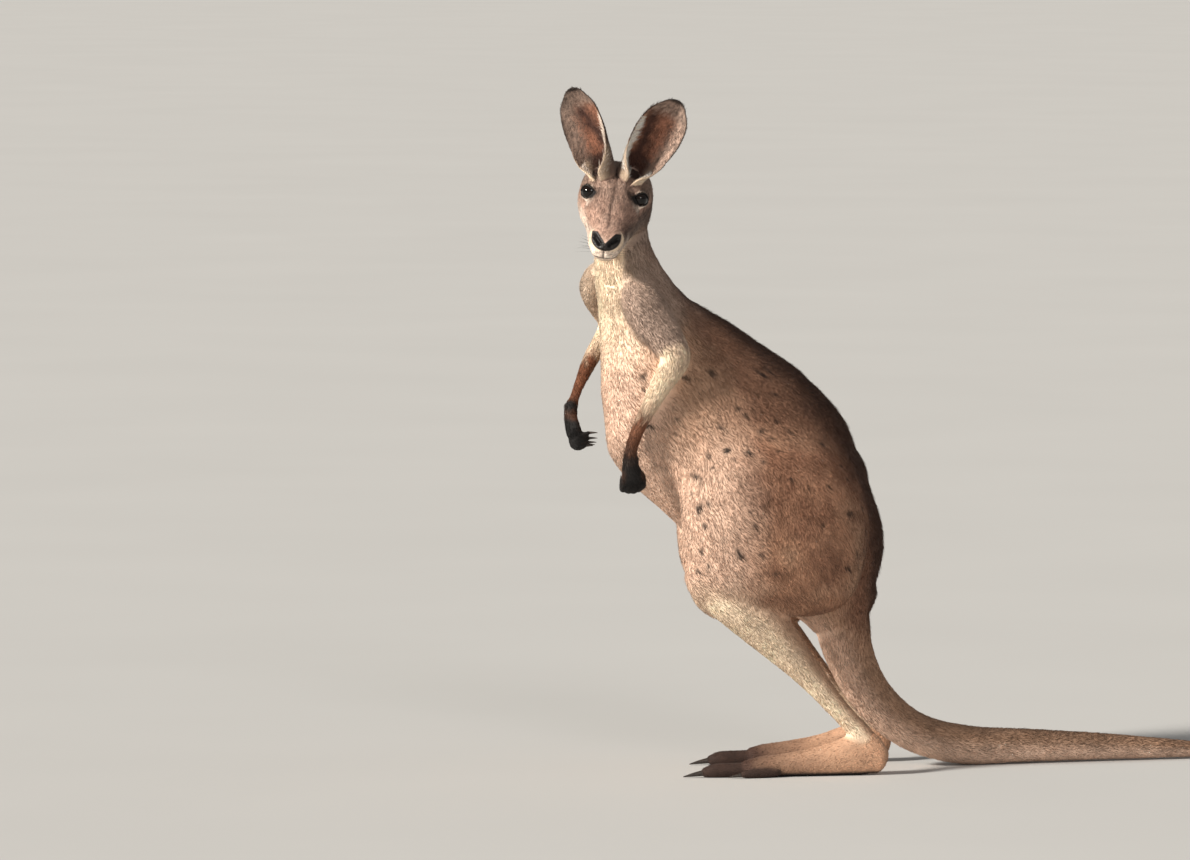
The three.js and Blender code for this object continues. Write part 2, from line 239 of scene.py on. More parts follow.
HANDS = {
    "left": {
        "palm": [[109, -246, 512], [109, -246, 496], [107, -242, 480], [106, -240, 474]],
        "across": [0.1, 1, 0.12],
        "fingers": [[0, 0, 0], [-2, 1, -12], [-14, 2, -17], [-21, 2, -8]],
        "claw": [-0.3, 0, 0.95],
    },
    "right": {
        "palm": [[-24, -319, 586], [-20, -320, 568], [-15, -317, 550], [-13, -315, 543]],
        "across": [0.72, 0.1, 0.62],
        "fingers": [[0, 0, 0], [1, 3, -14], [2, 12, -18], [3, 20, -15]],
        "claw": [0.1, 1, 0.12],
    },
}
HAND_HALVES = [13, 15, 20, 19]
HAND_DEPTH = 11
FINGER_RADIUS = 5.6
FINGER_SPREAD = [-17.5, -9, -0.5, 8, 15.5]
FINGER_RISE = [5.5, 1.8, 0.6, 2.2, 6.5]
FINGER_CLAW = 15
FINGER_CLAW_RADIUS = 2.3

HEAD_PLACE = np.array([42, -260, 924.0])  # midway between the eyes
HEAD_TURN, HEAD_LEAN, HEAD_BOW = np.radians([76, 8, 28])
HEAD = [  # in the head's own frame: the face looks along -Y, x is outwards
    [0, -99, -44, 19, 18, 19, 0],
    [0, -91, -42, 26, 25, 26, 0],
    [0, -77, -38, 31, 30, 31, 0],
    [0, -54, -33, 36, 37, 37, 0],
    [0, -28, -28, 46, 48, 46, 0],
    [0, -4, -25, 54, 55, 54, 0],
    [0, 22, -22, 60, 59, 58, 0],
    [0, 48, -18, 58, 56, 55, 0],
    [0, 72, -14, 46, 43, 40, 0],
    [0, 86, -10, 24, 22, 22, 0],
]
EYE_RADIUS = 14.5
EYE_SPREAD = 38.5
EAR = [  # height, half-width, and half-angle of the curl, from the root to the tip
    [-18, 20, 170],
    [2, 23, 158],
    [18, 28, 120],
    [38, 34, 86],
    [62, 39, 66],
    [84, 39, 56],
    [106, 34, 47],
    [123, 22, 39],
    [132, 13, 33],
    [136, 3, 28],
]
EAR_WALL = 3.6
EAR_CENTRE = 0.8  # how far the ear's own line lies from the middle of its curl, in radii
EAR_POSES = {  # the root in the head's frame, then the degrees outwards, back, and opened to the side
    "left": ([22, 32, 40], 26, 4, 6),
    "right": ([-22, 32, 38], 30, 6, 20),
}


# %% [markdown]
# ## Where the body stands in the shared frame
#
# The stations are measured from a point between the hips' soles. An eyeball's middle is known in both: in
# the tables, and as the middle of its node's box. The difference moves everything to its place in the
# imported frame.

# %% The head's pose and the body's origin
def turned(axis, angle):
    """The matrix that turns by angle about x (0), y (1) or z (2)."""
    c, s = np.cos(angle), np.sin(angle)
    a, b = [k for k in range(3) if k != axis]
    matrix = np.eye(3)
    matrix[a, a] = matrix[b, b] = c
    matrix[a, b], matrix[b, a] = (s, -s) if axis == 1 else (-s, s)
    return matrix


HEAD_POSE = turned(2, HEAD_TURN) @ turned(1, HEAD_LEAN) @ turned(0, HEAD_BOW)


def from_head(points):
    """Head-frame points as body points: place + pose · p."""
    return HEAD_PLACE + np.asarray(points, float) @ HEAD_POSE.T


def to_head(points):
    """Body points in the head's own frame."""
    return (np.asarray(points, float) - HEAD_PLACE) @ HEAD_POSE


eye_node = np.mean(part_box("eye_left"), axis=0) / MM
ORIGIN = from_head([EYE_SPREAD, 0, 0]) - eye_node
print("body origin", ORIGIN.round(2))


# %% [markdown]
# ## Lofts
#
# A limb is a rounded cross-section carried along its line. Both ends close with a dome. The same formula
# gives the closed mesh that becomes skin, and the centre line that later tells each hair which way to
# lie.

# %% Sections carried along a line
def line_frames(rows, share, across=None):
    """Along the rows: the centre, the tangent, the section's left and back directions, and its three
    half-sizes."""
    rows = np.asarray(rows, float)
    at = catmull(rows, share)
    step = 1e-4
    ahead, behind = np.minimum(share + step, 1), np.maximum(share - step, 0)
    tangent = unit(catmull(rows[:, :3], ahead) - catmull(rows[:, :3], behind))
    turn = np.radians(at[:, 6])
    left = np.stack([np.cos(turn), np.sin(turn), 0 * turn], 1)
    if across is not None:
        left = left * 0 + np.asarray(across, float)
    left = unit(left - (left * tangent).sum(1, keepdims=True) * tangent)
    return at[:, :3], tangent, left, np.cross(left, tangent), at[:, 3:6]


def loft(rows, sides, spans, depth=0.0, across=None, square=2.0, dome=0.8, dome_rows=4):
    """p = centre + wide·cos a·left + (back or front half)·sin a·back, with cos and sin raised to
    2/square. Beyond each end the section shrinks by cos b while it moves on by dome·sin b. Every
    half-size is reduced by the coat's depth."""
    steps = np.arange(-dome_rows, spans + dome_rows + 1)
    share = np.clip(steps / spans, 0, 1)
    past = np.where(steps < 0, steps, np.maximum(steps - spans, 0))
    lift = past / dome_rows * np.pi / 2
    shrink = np.cos(lift)
    centre, tangent, left, back, half = line_frames(rows, share, across)
    half = np.maximum(half - depth, half * 0.5)
    angle = np.arange(sides) * 2 * np.pi / sides
    c, s = (np.sign(f) * np.abs(f) ** (2 / square) for f in (np.cos(angle), np.sin(angle)))
    reach = np.where(s > 0, half[:, 1:2], half[:, 2:3])
    run = half.min(1) * dome * np.sin(lift)
    points = (
        centre[:, None]
        + (c * half[:, :1] * shrink[:, None])[..., None] * left[:, None]
        + (s * reach * shrink[:, None])[..., None] * back[:, None]
        + (run[:, None] * tangent)[:, None]
    )
    return closed_tube(points)


def ring_quads(rings, sides):
    """The four points of each face between rings of so many sides, whose points are numbered ring by
    ring."""
    i, j = (part.ravel() for part in np.meshgrid(np.arange(rings - 1), np.arange(sides), indexing="ij"))
    low, high, k = i * sides, (i + 1) * sides, (j + 1) % sides
    return np.stack([low + j, low + k, high + k, high + j], 1)


def closed_tube(grid):
    """A grid of rings as a closed mesh: the first and the last ring are each one point."""
    rings, sides = grid.shape[:2]
    points = np.vstack([grid[0, :1], grid[1:-1].reshape(-1, 3), grid[-1, :1]])
    quads = 1 + ring_quads(rings - 2, sides)[:, [0, 3, 2, 1]]
    j = np.arange(sides)
    k = (j + 1) % sides
    last = len(points) - 1
    base = 1 + (rings - 3) * sides
    caps = np.vstack([np.stack([0 * j, 1 + j, 1 + k], 1), np.stack([0 * j + last, base + k, base + j], 1)])
    return points, [*quads.tolist(), *caps.tolist()]


def new_mesh(name, points, faces):
    """A mesh object from points in body millimetres, placed in the shared frame in metres."""
    mesh = bpy.data.meshes.new(name)
    mesh.from_pydata(((np.asarray(points) - ORIGIN) * MM).tolist(), [], faces)
    mesh.update()
    piece = bpy.data.objects.new(name, mesh)
    bpy.context.scene.collection.objects.link(piece)
    return piece


def body_points(piece):
    """A mesh object's points in body millimetres."""
    flat = np.empty(len(piece.data.vertices) * 3, np.float32)
    piece.data.vertices.foreach_get("co", flat)
    return flat.reshape(-1, 3).astype(float) / MM + ORIGIN


def put_points(piece, points):
    """Moves a mesh object's points to these body millimetres."""
    piece.data.vertices.foreach_set("co", ((points - ORIGIN) * MM).astype(np.float32).ravel())
    piece.data.update()


# %% The limbs, each with its coat's depth and the way its hair lies
COAT_DEPTH = {  # how far the skin lies inside the solids in mm
    "trunk": 6, "neck": 6, "tail": 3.5, "thigh": 6, "shank": 4, "foot": 1.5, "toe": 1,
    "arm": 3.5, "palm": 1, "finger": 0.6, "head": 2,
}
THIGH_HAIR_WAY = [0.1, 0.45, -0.9]
TOE_TIP_RADIUS = 0.75  # as a share of the toe's own radius
FINGER_TAPER = np.array([1, 1, 0.95, 0.8])
EASE = 0.6  # below 1, a shift is taken up mostly near its start


def region_of(name):
    return name.split("_")[0]


def mirrored(rows):
    return [[-row[0], *row[1:]] for row in rows]


def shifted(rows, start, end):
    """Moves each row by a blend of the shifts at both ends: start·(1 − share) + end·share."""
    share = (np.arange(len(rows)) / max(len(rows) - 1, 1)) ** EASE
    moved = np.array(rows, float)
    moved[:, :3] += np.outer(1 - share, start) + np.outer(share, end)
    return moved.tolist()


LIMBS = {}  # name: rows, coat depth, the loft's options, and the hair's own direction if not along the limb


def add_limb(name, rows, way=None, **options):
    LIMBS[name] = {"rows": rows, "depth": COAT_DEPTH[region_of(name)], "way": way, "options": options}


def round_rows(path, radii):
    """Stations of a round limb through the points, with one radius for each."""
    return [[*p, r, r, r, 0] for p, r in zip(path, radii)]


add_limb("trunk", TRUNK)
add_limb("neck", NECK)
add_limb("tail", TAIL)
for side, sign in SIGN.items():
    mine = side == "left"
    knee = [0, 0, 0] if mine else RIGHT_KNEE
    sole = [0, 0, 0] if mine else RIGHT_FOOT
    turn_over = (lambda rows: rows) if mine else mirrored
    thigh_way = np.multiply(THIGH_HAIR_WAY, [sign, 1, 1])
    add_limb(f"thigh_{side}", turn_over(shifted(THIGH, [0, 0, 0], knee)), way=thigh_way)
    add_limb(f"shank_{side}", turn_over(shifted(SHANK, knee, sole)))
    add_limb(f"foot_{side}", turn_over(shifted(FOOT, sole, sole)))
    for i, (path, radius, _, _) in enumerate(TOES):
        radii = [radius] * (len(path) - 1) + [radius * TOE_TIP_RADIUS]
        add_limb(f"toe_{side}_{i + 1}", round_rows(turn_over(shifted(path, sole, sole)), radii))
    add_limb(f"arm_{side}", ARMS[side])
    hand = HANDS[side]
    palm = [[*p, wide, HAND_DEPTH, HAND_DEPTH, 0] for p, wide in zip(hand["palm"], HAND_HALVES)]
    add_limb(f"palm_{side}", palm, across=hand["across"])
    knuckles = np.array(hand["palm"][-1], float)
    down = unit(knuckles - hand["palm"][-2])
    for i, (spread, rise) in enumerate(zip(FINGER_SPREAD, FINGER_RISE)):
        path = knuckles + np.array(hand["fingers"]) + spread * unit(np.array(hand["across"])) - rise * down
        add_limb(f"finger_{side}_{i + 1}", round_rows(path, FINGER_RADIUS * FINGER_TAPER))
head_rows = [[*from_head(row[:3]), *row[3:]] for row in HEAD]
add_limb("head", head_rows, across=HEAD_POSE[:, 0], square=2.3, dome=0.6)
print(len(LIMBS), "limbs")


# %% [markdown]
# ## One skin
#
# All limbs are joined and wrapped in one surface by a voxel Remesh. A wrap leaves creases where two limbs
# meet, and on a furred animal those are soft, so each point is moved towards the middle of its neighbours
# a few dozen times. The broad body needs fewer faces than the face, hands and feet do, so Decimate thins
# only the body.

# %% Wrap the limbs
def joined_mesh(name, parts):
    """Several (points, faces) as one mesh object."""
    points, faces, base = [], [], 0
    for some, theirs in parts:
        points.append(some)
        faces += [[base + v for v in face] for face in theirs]
        base += len(some)
    return new_mesh(name, np.vstack(points), faces)


def applied(piece, kind, **settings):
    """Runs one modifier on a piece and keeps its result as the piece's mesh."""
    modifier = piece.modifiers.new(kind.title(), kind)
    for key, value in settings.items():
        setattr(modifier, key, value)
    graph = bpy.context.evaluated_depsgraph_get()
    result = bpy.data.meshes.new_from_object(piece.evaluated_get(graph))
    piece.modifiers.clear()
    piece.data = result
    return piece


VOXEL = 2.4  # mm
DIGIT_GRID, BODY_GRID = (14, 16), (56, 80)  # sides and spans of a loft
parts = []
for name, limb in LIMBS.items():
    sides, spans = DIGIT_GRID if name.startswith(("finger", "toe")) else BODY_GRID
    parts.append(loft(limb["rows"], sides, spans, depth=limb["depth"], **limb["options"]))
skin = joined_mesh("skin", parts)
applied(skin, "REMESH", mode="VOXEL", voxel_size=VOXEL * MM, use_smooth_shade=True)
print("wrapped skin", len(skin.data.vertices), "points")


# %% Soften the creases between limbs
def edge_array(mesh):
    """The two points of every edge."""
    pairs = np.empty(len(mesh.edges) * 2, np.int32)
    mesh.edges.foreach_get("vertices", pairs)
    return pairs.reshape(-1, 2)


def relaxed(points, edges, rounds, weight):
    """Each round moves every point by weight towards the mean of its neighbours."""
    a, b = edges.T
    count = len(points)
    degree = np.bincount(a, minlength=count) + np.bincount(b, minlength=count)
    degree = np.maximum(degree, 1)
    for _ in range(rounds):
        sums = [np.bincount(a, points[b, k], count) + np.bincount(b, points[a, k], count) for k in range(3)]
        mean = np.stack(sums, 1) / degree[:, None]
        points = points + weight[:, None] * (mean - points)
    return points


LIMB_STATIONS = 90


def nearness(points, names):
    """The smallest distance, as a share of the limb's own half-size, to any of the named limbs."""
    return np.min([limb_place(name, points)["ratio"] for name in names], axis=0)


def limb_place(name, points):
    """Each point against the nearest station of a limb: the share along it, the angle around it (0 at its
    left side, 90 degrees at its back), the distance as a share of the half-size there, and the limb's
    direction."""
    limb = LIMBS[name]
    if "frames" not in limb:
        share = np.linspace(0, 1, LIMB_STATIONS)
        limb["frames"] = line_frames(limb["rows"], share, limb["options"].get("across"))
    centre, tangent, left, back, half = limb["frames"]
    gap = (centre**2).sum(1) - 2 * points @ centre.T
    near = gap.argmin(1)
    offset = points - centre[near]
    sideways = (offset * left[near]).sum(1) / half[near, 0]
    rise = (offset * back[near]).sum(1)
    rise = rise / np.where(rise > 0, half[near, 1], half[near, 2])
    ahead = (offset * tangent[near]).sum(1)
    ratio = np.sqrt(sideways**2 + rise**2 + (ahead / half[near].min(1)) ** 2)
    length = np.linalg.norm(np.diff(centre, axis=0), axis=1).sum()
    along = np.clip(near / (len(centre) - 1) + ahead / length, 0, 1)
    return {"along": along, "around": np.arctan2(rise, sideways), "ratio": ratio, "tangent": tangent[near]}


DIGITS = [name for name in LIMBS if name.startswith(("finger", "toe", "palm"))]
FACE_MIDDLE = [0, -40, -20]  # in the head's frame
SOFTEN_ROUNDS, SOFTEN_WEIGHT = 36, 0.5
DIGITS_KEPT, FACE_KEPT = 0.93, 0.6  # how much less the digits and the face are softened
points = body_points(skin)
fine = 1 - smoothstep(1.0, 2.0, nearness(points, DIGITS))
face = bell(distance(to_head(points), FACE_MIDDLE), 90)
weight = SOFTEN_WEIGHT * (1 - DIGITS_KEPT * fine) * (1 - FACE_KEPT * face)
points = relaxed(points, edge_array(skin.data), SOFTEN_ROUNDS, weight)
put_points(skin, points)
print("softened", len(points), "points")


# %% [markdown]
# ## The face
#
# The wrap has no lids, nostrils or mouth. They are sculpted by moving points with formulas in the head's
# own frame, so the face around the eyes and the nose is first given smaller faces. The eye's opening is
# an almond on the eyeball: |h / H|^1.4 + |v / V|^1.4 = 1, where h and v are the angles sideways and
# upwards from the eye's own axis.

# %% The places of the features
EYE_OUT = np.radians(32)  # how far each eye's axis points outwards from straight ahead
EYE_LIFT = np.radians(24)  # and upwards, as the head is carried bowed
LID_IN, LID_OUT, LID_UP, LID_DOWN = 57, 68, 44, 39  # the opening's half-angles in degrees
LID_TILT = np.radians(15)  # how far the inner corner is turned upwards
LID_POWER = 1.4
LID_RADIUS = EYE_RADIUS + 1.0
MOUTH_BACK = -42  # the corners of the mouth


def eye_axes(side):
    """The eye's own axis, its outward direction and its upward direction, in the head's frame."""
    ahead = np.cos(EYE_OUT)
    axis = np.array([side * np.sin(EYE_OUT), -ahead * np.cos(EYE_LIFT), ahead * np.sin(EYE_LIFT)])
    up = np.array([0, np.sin(EYE_LIFT), np.cos(EYE_LIFT)])
    up = unit(up - up @ axis * axis)
    return axis, -side * np.cross(axis, up), up


def between_ways(way, axis):
    """arccos(way · axis) in degrees."""
    return np.degrees(np.arccos(np.clip(way @ axis, -1, 1)))


def lid_edge(turn):
    """The opening's angular radius in a direction: (|cos t / H|^p + |sin t / V|^p)^(−1/p), in degrees."""
    h, v = np.cos(turn + LID_TILT), np.sin(turn + LID_TILT)
    wide = np.where(h > 0, LID_OUT, LID_IN)
    high = np.where(v > 0, LID_UP, LID_DOWN)
    return (np.abs(h / wide) ** LID_POWER + np.abs(v / high) ** LID_POWER) ** (-1 / LID_POWER)


def lid_gap(q, side):
    """For head-frame points: the millimetres beyond the lids' edge along the eyeball, below 0 in the
    opening, the distance from the eyeball's middle, and the upward and outward angles in degrees."""
    axis, out, up = eye_axes(side)
    offset = q - [side * EYE_SPREAD, 0, 0]
    far = np.linalg.norm(offset, axis=-1)
    way = offset / np.maximum(far, 1e-9)[..., None]
    angle = between_ways(way, axis)
    turn = np.arctan2(way @ up, way @ out)
    gap = (angle - lid_edge(turn)) * np.pi / 180 * LID_RADIUS
    return gap, far, angle * np.sin(turn), angle * np.cos(turn)


NOSE_SLOPE = (0.53, 0.84)  # the pad leans: how much y and z count in its own height
PAD_HALF, PAD_WIDEST, PAD_DROP = 23.5, -70, 20.5  # half-width, height where it is widest, and the run below
PAD_TOP, PAD_BOTTOM, PAD_FRONT = -61, -91, -78
DIP_HALF, DIP_LOW, DIP_RUN = 13, -79, 16  # the fur that dips between the lobes
NOSTRIL_LOW, NOSTRIL_HIGH = np.array([8.5, -80.5]), np.array([18.5, -69.5])
MUZZLE_TIP = -84  # further forward than this, only the nose's front is meant
MOUTH_HEIGHT, MOUTH_RISE, MOUTH_FRONT = -54.5, 8, -106


def front_height(q):
    """Height on the front of the muzzle, measured square to the nose pad: 0.53·y + 0.84·z."""
    return NOSE_SLOPE[0] * q[..., 1] + NOSE_SLOPE[1] * q[..., 2]


def pad_outline(height):
    """The pad's half-width at a height: half·√(1 − ((widest − height) / drop)²)."""
    return PAD_HALF * np.sqrt(np.clip(1 - (np.clip(PAD_WIDEST - height, 0, 30) / PAD_DROP) ** 2, 0, 1))


def pad_share(q):
    """1 on the bare nose pad, 0 off it: two lobes that meet low in the middle, with fur dipping between
    them."""
    height, wide = front_height(q), np.abs(q[..., 0])
    inner = DIP_HALF * np.clip((height - DIP_LOW) / DIP_RUN, 0, 1.2)
    inside = np.minimum(pad_outline(height) - wide, wide - inner + 0.4)
    inside = np.minimum(inside, np.minimum(PAD_TOP - height, height - PAD_BOTTOM))
    return smoothstep(-0.6, 0.8, inside) * (q[..., 1] < PAD_FRONT)


def nostril_gap(q):
    """Distance, on the nose pad, from the slit of the nearer nostril."""
    place = np.stack([np.abs(q[..., 0]), front_height(q)], -1)
    run = NOSTRIL_HIGH - NOSTRIL_LOW
    share = np.clip((place - NOSTRIL_LOW) @ run / (run**2).sum(), 0, 1)
    return np.linalg.norm(place - NOSTRIL_LOW - share[..., None] * run, axis=-1)


def mouth_gap(q):
    """Height above the line of the mouth, which rises towards its corners."""
    line = MOUTH_HEIGHT + MOUTH_RISE * np.clip((q[..., 1] - MOUTH_FRONT) / (MOUTH_BACK - MOUTH_FRONT), 0, 1)
    return q[..., 2] - line


# %% Give the face smaller faces
def refined(piece, near):
    """Splits every edge in half where near(points) is true at both ends."""
    grid = bmesh.new()
    grid.from_mesh(piece.data)
    points = np.array([v.co for v in grid.verts]) / MM + ORIGIN
    inside = near(points)
    edges = [e for e in grid.edges if inside[e.verts[0].index] and inside[e.verts[1].index]]
    bmesh.ops.subdivide_edges(grid, edges=edges, cuts=1, use_grid_fill=True)
    bmesh.ops.triangulate(grid, faces=[f for f in grid.faces if len(f.verts) > 4])
    grid.to_mesh(piece.data)
    grid.free()
    return piece


EYE_ZONE, EYE_ZONE_RADIUS = (40, -8, 4), 30
MUZZLE_FROM, MUZZLE_HALF, MUZZLE_TOP = -66, 40, 0


def face_zone(points):
    """True around each eye and on the muzzle."""
    q = to_head(points)
    eyes = [distance(q, np.multiply(EYE_ZONE, [sign, 1, 1])) < EYE_ZONE_RADIUS for sign in SIGN.values()]
    muzzle = (q[:, 1] < MUZZLE_FROM) & (np.abs(q[:, 0]) < MUZZLE_HALF) & (q[:, 2] < MUZZLE_TOP)
    return eyes[0] | eyes[1] | muzzle


refined(skin, face_zone)
print("with a finer face", len(skin.data.vertices), "points")


# %% Sculpt the face
ROUND = (1, 1, 1)
BUMPS = [  # brow, cheek, wing of the nose and tear duct: middle on the left side, stretch, width and height
    ((37, -2, 27), ROUND, 13, 2.6),
    ((50, 2, -30), (1, 0.5, 1), 15, 1.5),
    ((17, -97, -36), ROUND, 8, 1.8),
    ((24, -40, 4), (1, 0.6, 1), 12, -1.5),
]
LIP = ((11, -100, -52), ROUND, 11, 3.0)
JAW = ((44, 12, -52), (1, 0.7, 1), 17)
JAW_HEIGHT = {"left": 6.5, "right": 2.0}
CHIN = ((0, -96, -60), (0.8, 0.8, 1), 14, 5.5)
NOSE_BACK, LIDS_REACH = (0, -80, -42), (29, 38)
SLIT_DEPTH, GROOVE_DEPTH, PAD_RISE = 5.5, 1.6, 0.9
SOCKET_RADIUS = 12.0  # where the skin goes inside the open lids


def raised(q, outward, bumps, sign=1):
    """q + outward·Σ height·bell(distance from the bump's middle / its width)."""
    rise = sum(
        height * bell(distance(q, np.multiply(middle, [sign, 1, 1]), stretch), width)
        for middle, stretch, width, height in bumps
    )
    return q + outward * rise[:, None]


def lidded(q, sign):
    """Points near an eye laid on a sphere just outside the eyeball, with a thick edge and a fold above
    and below."""
    gap, far, high, out = lid_gap(q, sign)
    way = (q - [sign * EYE_SPREAD, 0, 0]) / np.maximum(far, 1e-6)[:, None]
    reach = 10 + 9 * smoothstep(-10, -60, out)
    slope = smoothstep(0.5, reach, gap)
    edge = LID_RADIUS + 1.0 * bell(gap - 2.6, 1.8)
    target = edge * (1 - slope) + far * slope
    upper, lower = smoothstep(2, 14, high), smoothstep(-2, -14, high)
    target -= 1.6 * upper * bell(gap - 5.2, 1.0) + 0.8 * lower * bell(gap - 4.6, 0.9)
    inside = SOCKET_RADIUS + (LID_RADIUS - SOCKET_RADIUS) * smoothstep(-1.3, 0.0, gap)
    target = np.where(gap < 0, inside, target)
    touched = (1 - smoothstep(*LIDS_REACH, far)) * smoothstep(reach + 3, reach, gap)
    return q + way * ((target - far) * touched)[:, None]


def sculpted(q):
    """Head-frame points with brows, nostrils, philtrum, mouth and lids worked into them."""
    middle = np.stack([0 * q[:, 0], q[:, 1], -38 + 0 * q[:, 2]], 1)
    outward = unit(q - middle)
    muzzle = smoothstep(-60, -80, q[:, 1])
    for side, sign in SIGN.items():
        q = raised(q, outward, BUMPS, sign)
        q = raised(q, outward, [LIP, (*JAW, JAW_HEIGHT[side])], sign)
    q = raised(q, outward, [CHIN])
    q = q - outward * (1.2 * bell(q[:, 0], 4) * bell(q[:, 1] + 20, 45) * (q[:, 2] > 0))[:, None]

    front = unit(q - NOSE_BACK)
    slit = bell(nostril_gap(q), 3.0) * (q[:, 1] < MUZZLE_TIP)
    groove = bell(q[:, 0], 1.2) * smoothstep(-84, -88, front_height(q)) * (q[:, 1] < MUZZLE_TIP)
    push = PAD_RISE * pad_share(q) - SLIT_DEPTH * slit - GROOVE_DEPTH * groove * (mouth_gap(q) > -1)
    q = q + front * push[:, None]

    gap = mouth_gap(q)
    reach = smoothstep(MOUTH_BACK + 6, MOUTH_BACK - 8, q[:, 1])
    lips = 1.1 * bell(gap - 5, 4) + 0.9 * bell(gap + 4, 3) - 2.6 * bell(gap, 1.3)
    q = q + outward * (lips * reach)[:, None]
    q[:, 1] += 3.5 * smoothstep(0, -4, gap) * muzzle
    for sign in SIGN.values():
        q = lidded(q, sign)
    return q


FACE_RADIUS = 110
points = body_points(skin)
q = to_head(points)
is_face = distance(q, FACE_MIDDLE) < FACE_RADIUS
points[is_face] = from_head(sculpted(q[is_face]))
put_points(skin, points)
print("sculpted", int(is_face.sum()), "points of the face")


# %% Thin the broad body
SKIN_FACES = 172_000
SKIN_ABOVE_FLOOR = 0.8  # mm
KEPT_MIDDLE, KEPT_FROM, KEPT_TO = [0, -25, -10], 95, 75  # the part of the head that isn't thinned
SIDE_ROUNDS = 150
ARMPIT_FROM = 690  # mm above the floor
OCCIPUT, OCCIPUT_WIDTH = [0, 74, 22], 26


def both_sides(limb, points):
    """The smaller ratio of the left and the right limb."""
    return nearness(points, [f"{limb}_{side}" for side in SIGN])


points = body_points(skin)
keep = 1 - smoothstep(1.1, 1.5, nearness(points, DIGITS))
keep = np.maximum(keep, smoothstep(KEPT_FROM, KEPT_TO, distance(to_head(points), KEPT_MIDDLE)))
group = skin.vertex_groups.new(name="broad")
levels = np.round(1 - keep, 1)
for level in np.unique(levels):
    group.add(np.nonzero(levels == level)[0].tolist(), float(level), "REPLACE")
triangles = sum(len(polygon.vertices) - 2 for polygon in skin.data.polygons)
applied(skin, "DECIMATE", ratio=SKIN_FACES / triangles, vertex_group="broad", vertex_group_factor=1.0)
skin.vertex_groups.clear()

points = body_points(skin)
trunk_ratio = nearness(points, ["trunk"])
thigh_ratio, arm_ratio = both_sides("thigh", points), both_sides("arm", points)
ridge = smoothstep(0.5, 0.1, np.abs(trunk_ratio - thigh_ratio)) * smoothstep(1.7, 1.2, thigh_ratio)
armpit = smoothstep(0.35, 0.05, np.abs(trunk_ratio - arm_ratio)) * smoothstep(1.6, 1.2, arm_ratio)
armpit = armpit * (points[:, 2] > ARMPIT_FROM)
occiput = bell(distance(to_head(points), OCCIPUT), OCCIPUT_WIDTH)
smooth_share = np.clip(ridge + 0.4 * armpit + 0.6 * occiput, 0, 1)
points = relaxed(points, edge_array(skin.data), SIDE_ROUNDS, SOFTEN_WEIGHT * smooth_share)
points[:, 2] = np.maximum(points[:, 2], SKIN_ABOVE_FLOOR)
put_points(skin, points)
print("thinned from", triangles, "to", len(skin.data.polygons), "faces")


# %% [markdown]
# ## Ears
#
# An ear is a curled leaf: its section is an arc that is nearly closed at the root and opens towards the
# tip. The arc is walked along the outside and back along the inside, so the wall has a real thickness
# that thins to the rim.

# %% Ears as curled leaves
def ear_pose(side):
    """The matrix and the root of an ear in the head's frame."""
    root, *degrees = EAR_POSES[side]
    out, back, opened = np.radians(degrees)
    matrix = turned(1, SIGN[side] * out) @ turned(0, -back) @ turned(2, SIGN[side] * opened)
    return matrix, np.array(root, float)


def ear_points(side, sweep, share, outside):
    """radius = half-width / sin(curl); p = (reach·sin a, reach·cos a − 0.8·radius, height), where a =
    sweep·curl and the reach is the radius plus or minus half the wall, which thins as √(1 − sweep²)."""
    at = catmull(EAR, share)
    height, half, curl = at[..., 0], at[..., 1], at[..., 2]
    radius = half / np.sin(np.radians(np.minimum(curl, 90)))
    wall = EAR_WALL / 2 * np.sqrt(np.clip(1 - sweep**2, 0, 1)) * np.clip(np.sin(share * np.pi) * 8, 0, 1)
    reach = radius + outside * wall
    a = sweep * np.radians(curl)
    local = np.stack([reach * np.sin(a), reach * np.cos(a) - EAR_CENTRE * radius, height], -1)
    matrix, root = ear_pose(side)
    return from_head(local @ matrix.T + root)


EAR_AROUND, EAR_ALONG = 96, 60
WELD, SLIVER = 0.05 * MM, 0.01 * MM
for side in SIGN:
    around = np.arange(EAR_AROUND) / EAR_AROUND
    sweep = np.where(around < 0.5, 1 - 4 * around, 4 * around - 3)
    outside = np.where(around < 0.5, 1.0, -1.0)
    share = np.linspace(0, 1, EAR_ALONG)
    grid = ear_points(side, *np.broadcast_arrays(sweep[None], share[:, None], outside[None]))
    quads = ring_quads(EAR_ALONG, EAR_AROUND)
    ear = new_mesh(f"ear_form_{side}", grid.reshape(-1, 3), quads.tolist())
    leaf = bmesh.new()
    leaf.from_mesh(ear.data)
    bmesh.ops.remove_doubles(leaf, verts=leaf.verts, dist=WELD)
    bmesh.ops.dissolve_degenerate(leaf, edges=leaf.edges, dist=SLIVER)
    bmesh.ops.recalc_face_normals(leaf, faces=leaf.faces)
    print(ear.name, "open edges:", sum(not e.is_manifold for e in leaf.edges), "volume", leaf.calc_volume())
    leaf.to_mesh(ear.data)
    leaf.free()
    applied(skin, "BOOLEAN", operation="UNION", solver="MANIFOLD", object=ear)
    bpy.data.objects.remove(ear)
print("skin with ears", len(skin.data.vertices), "points", len(skin.data.polygons), "faces")


# %% [markdown]
# ## What each spot of the body is
#
# Colours, hair lengths and the lie of the hair all follow from a few measures of a spot: which limb it is
# on, how far along, at which angle around, and for the face and the ears its place in their own frames.
# Skin and coat read the same measures, so both carry the same markings.

# %% Measures of a spot
PULL = 9  # how sharply one limb gives way to the next
EAR_NEAR, EAR_SWEEP = 3.2, 1.15  # a spot on the ear is no further from the wall's middle, nor past its edges
EAR_FOOT, EAR_TOP = -12, 140


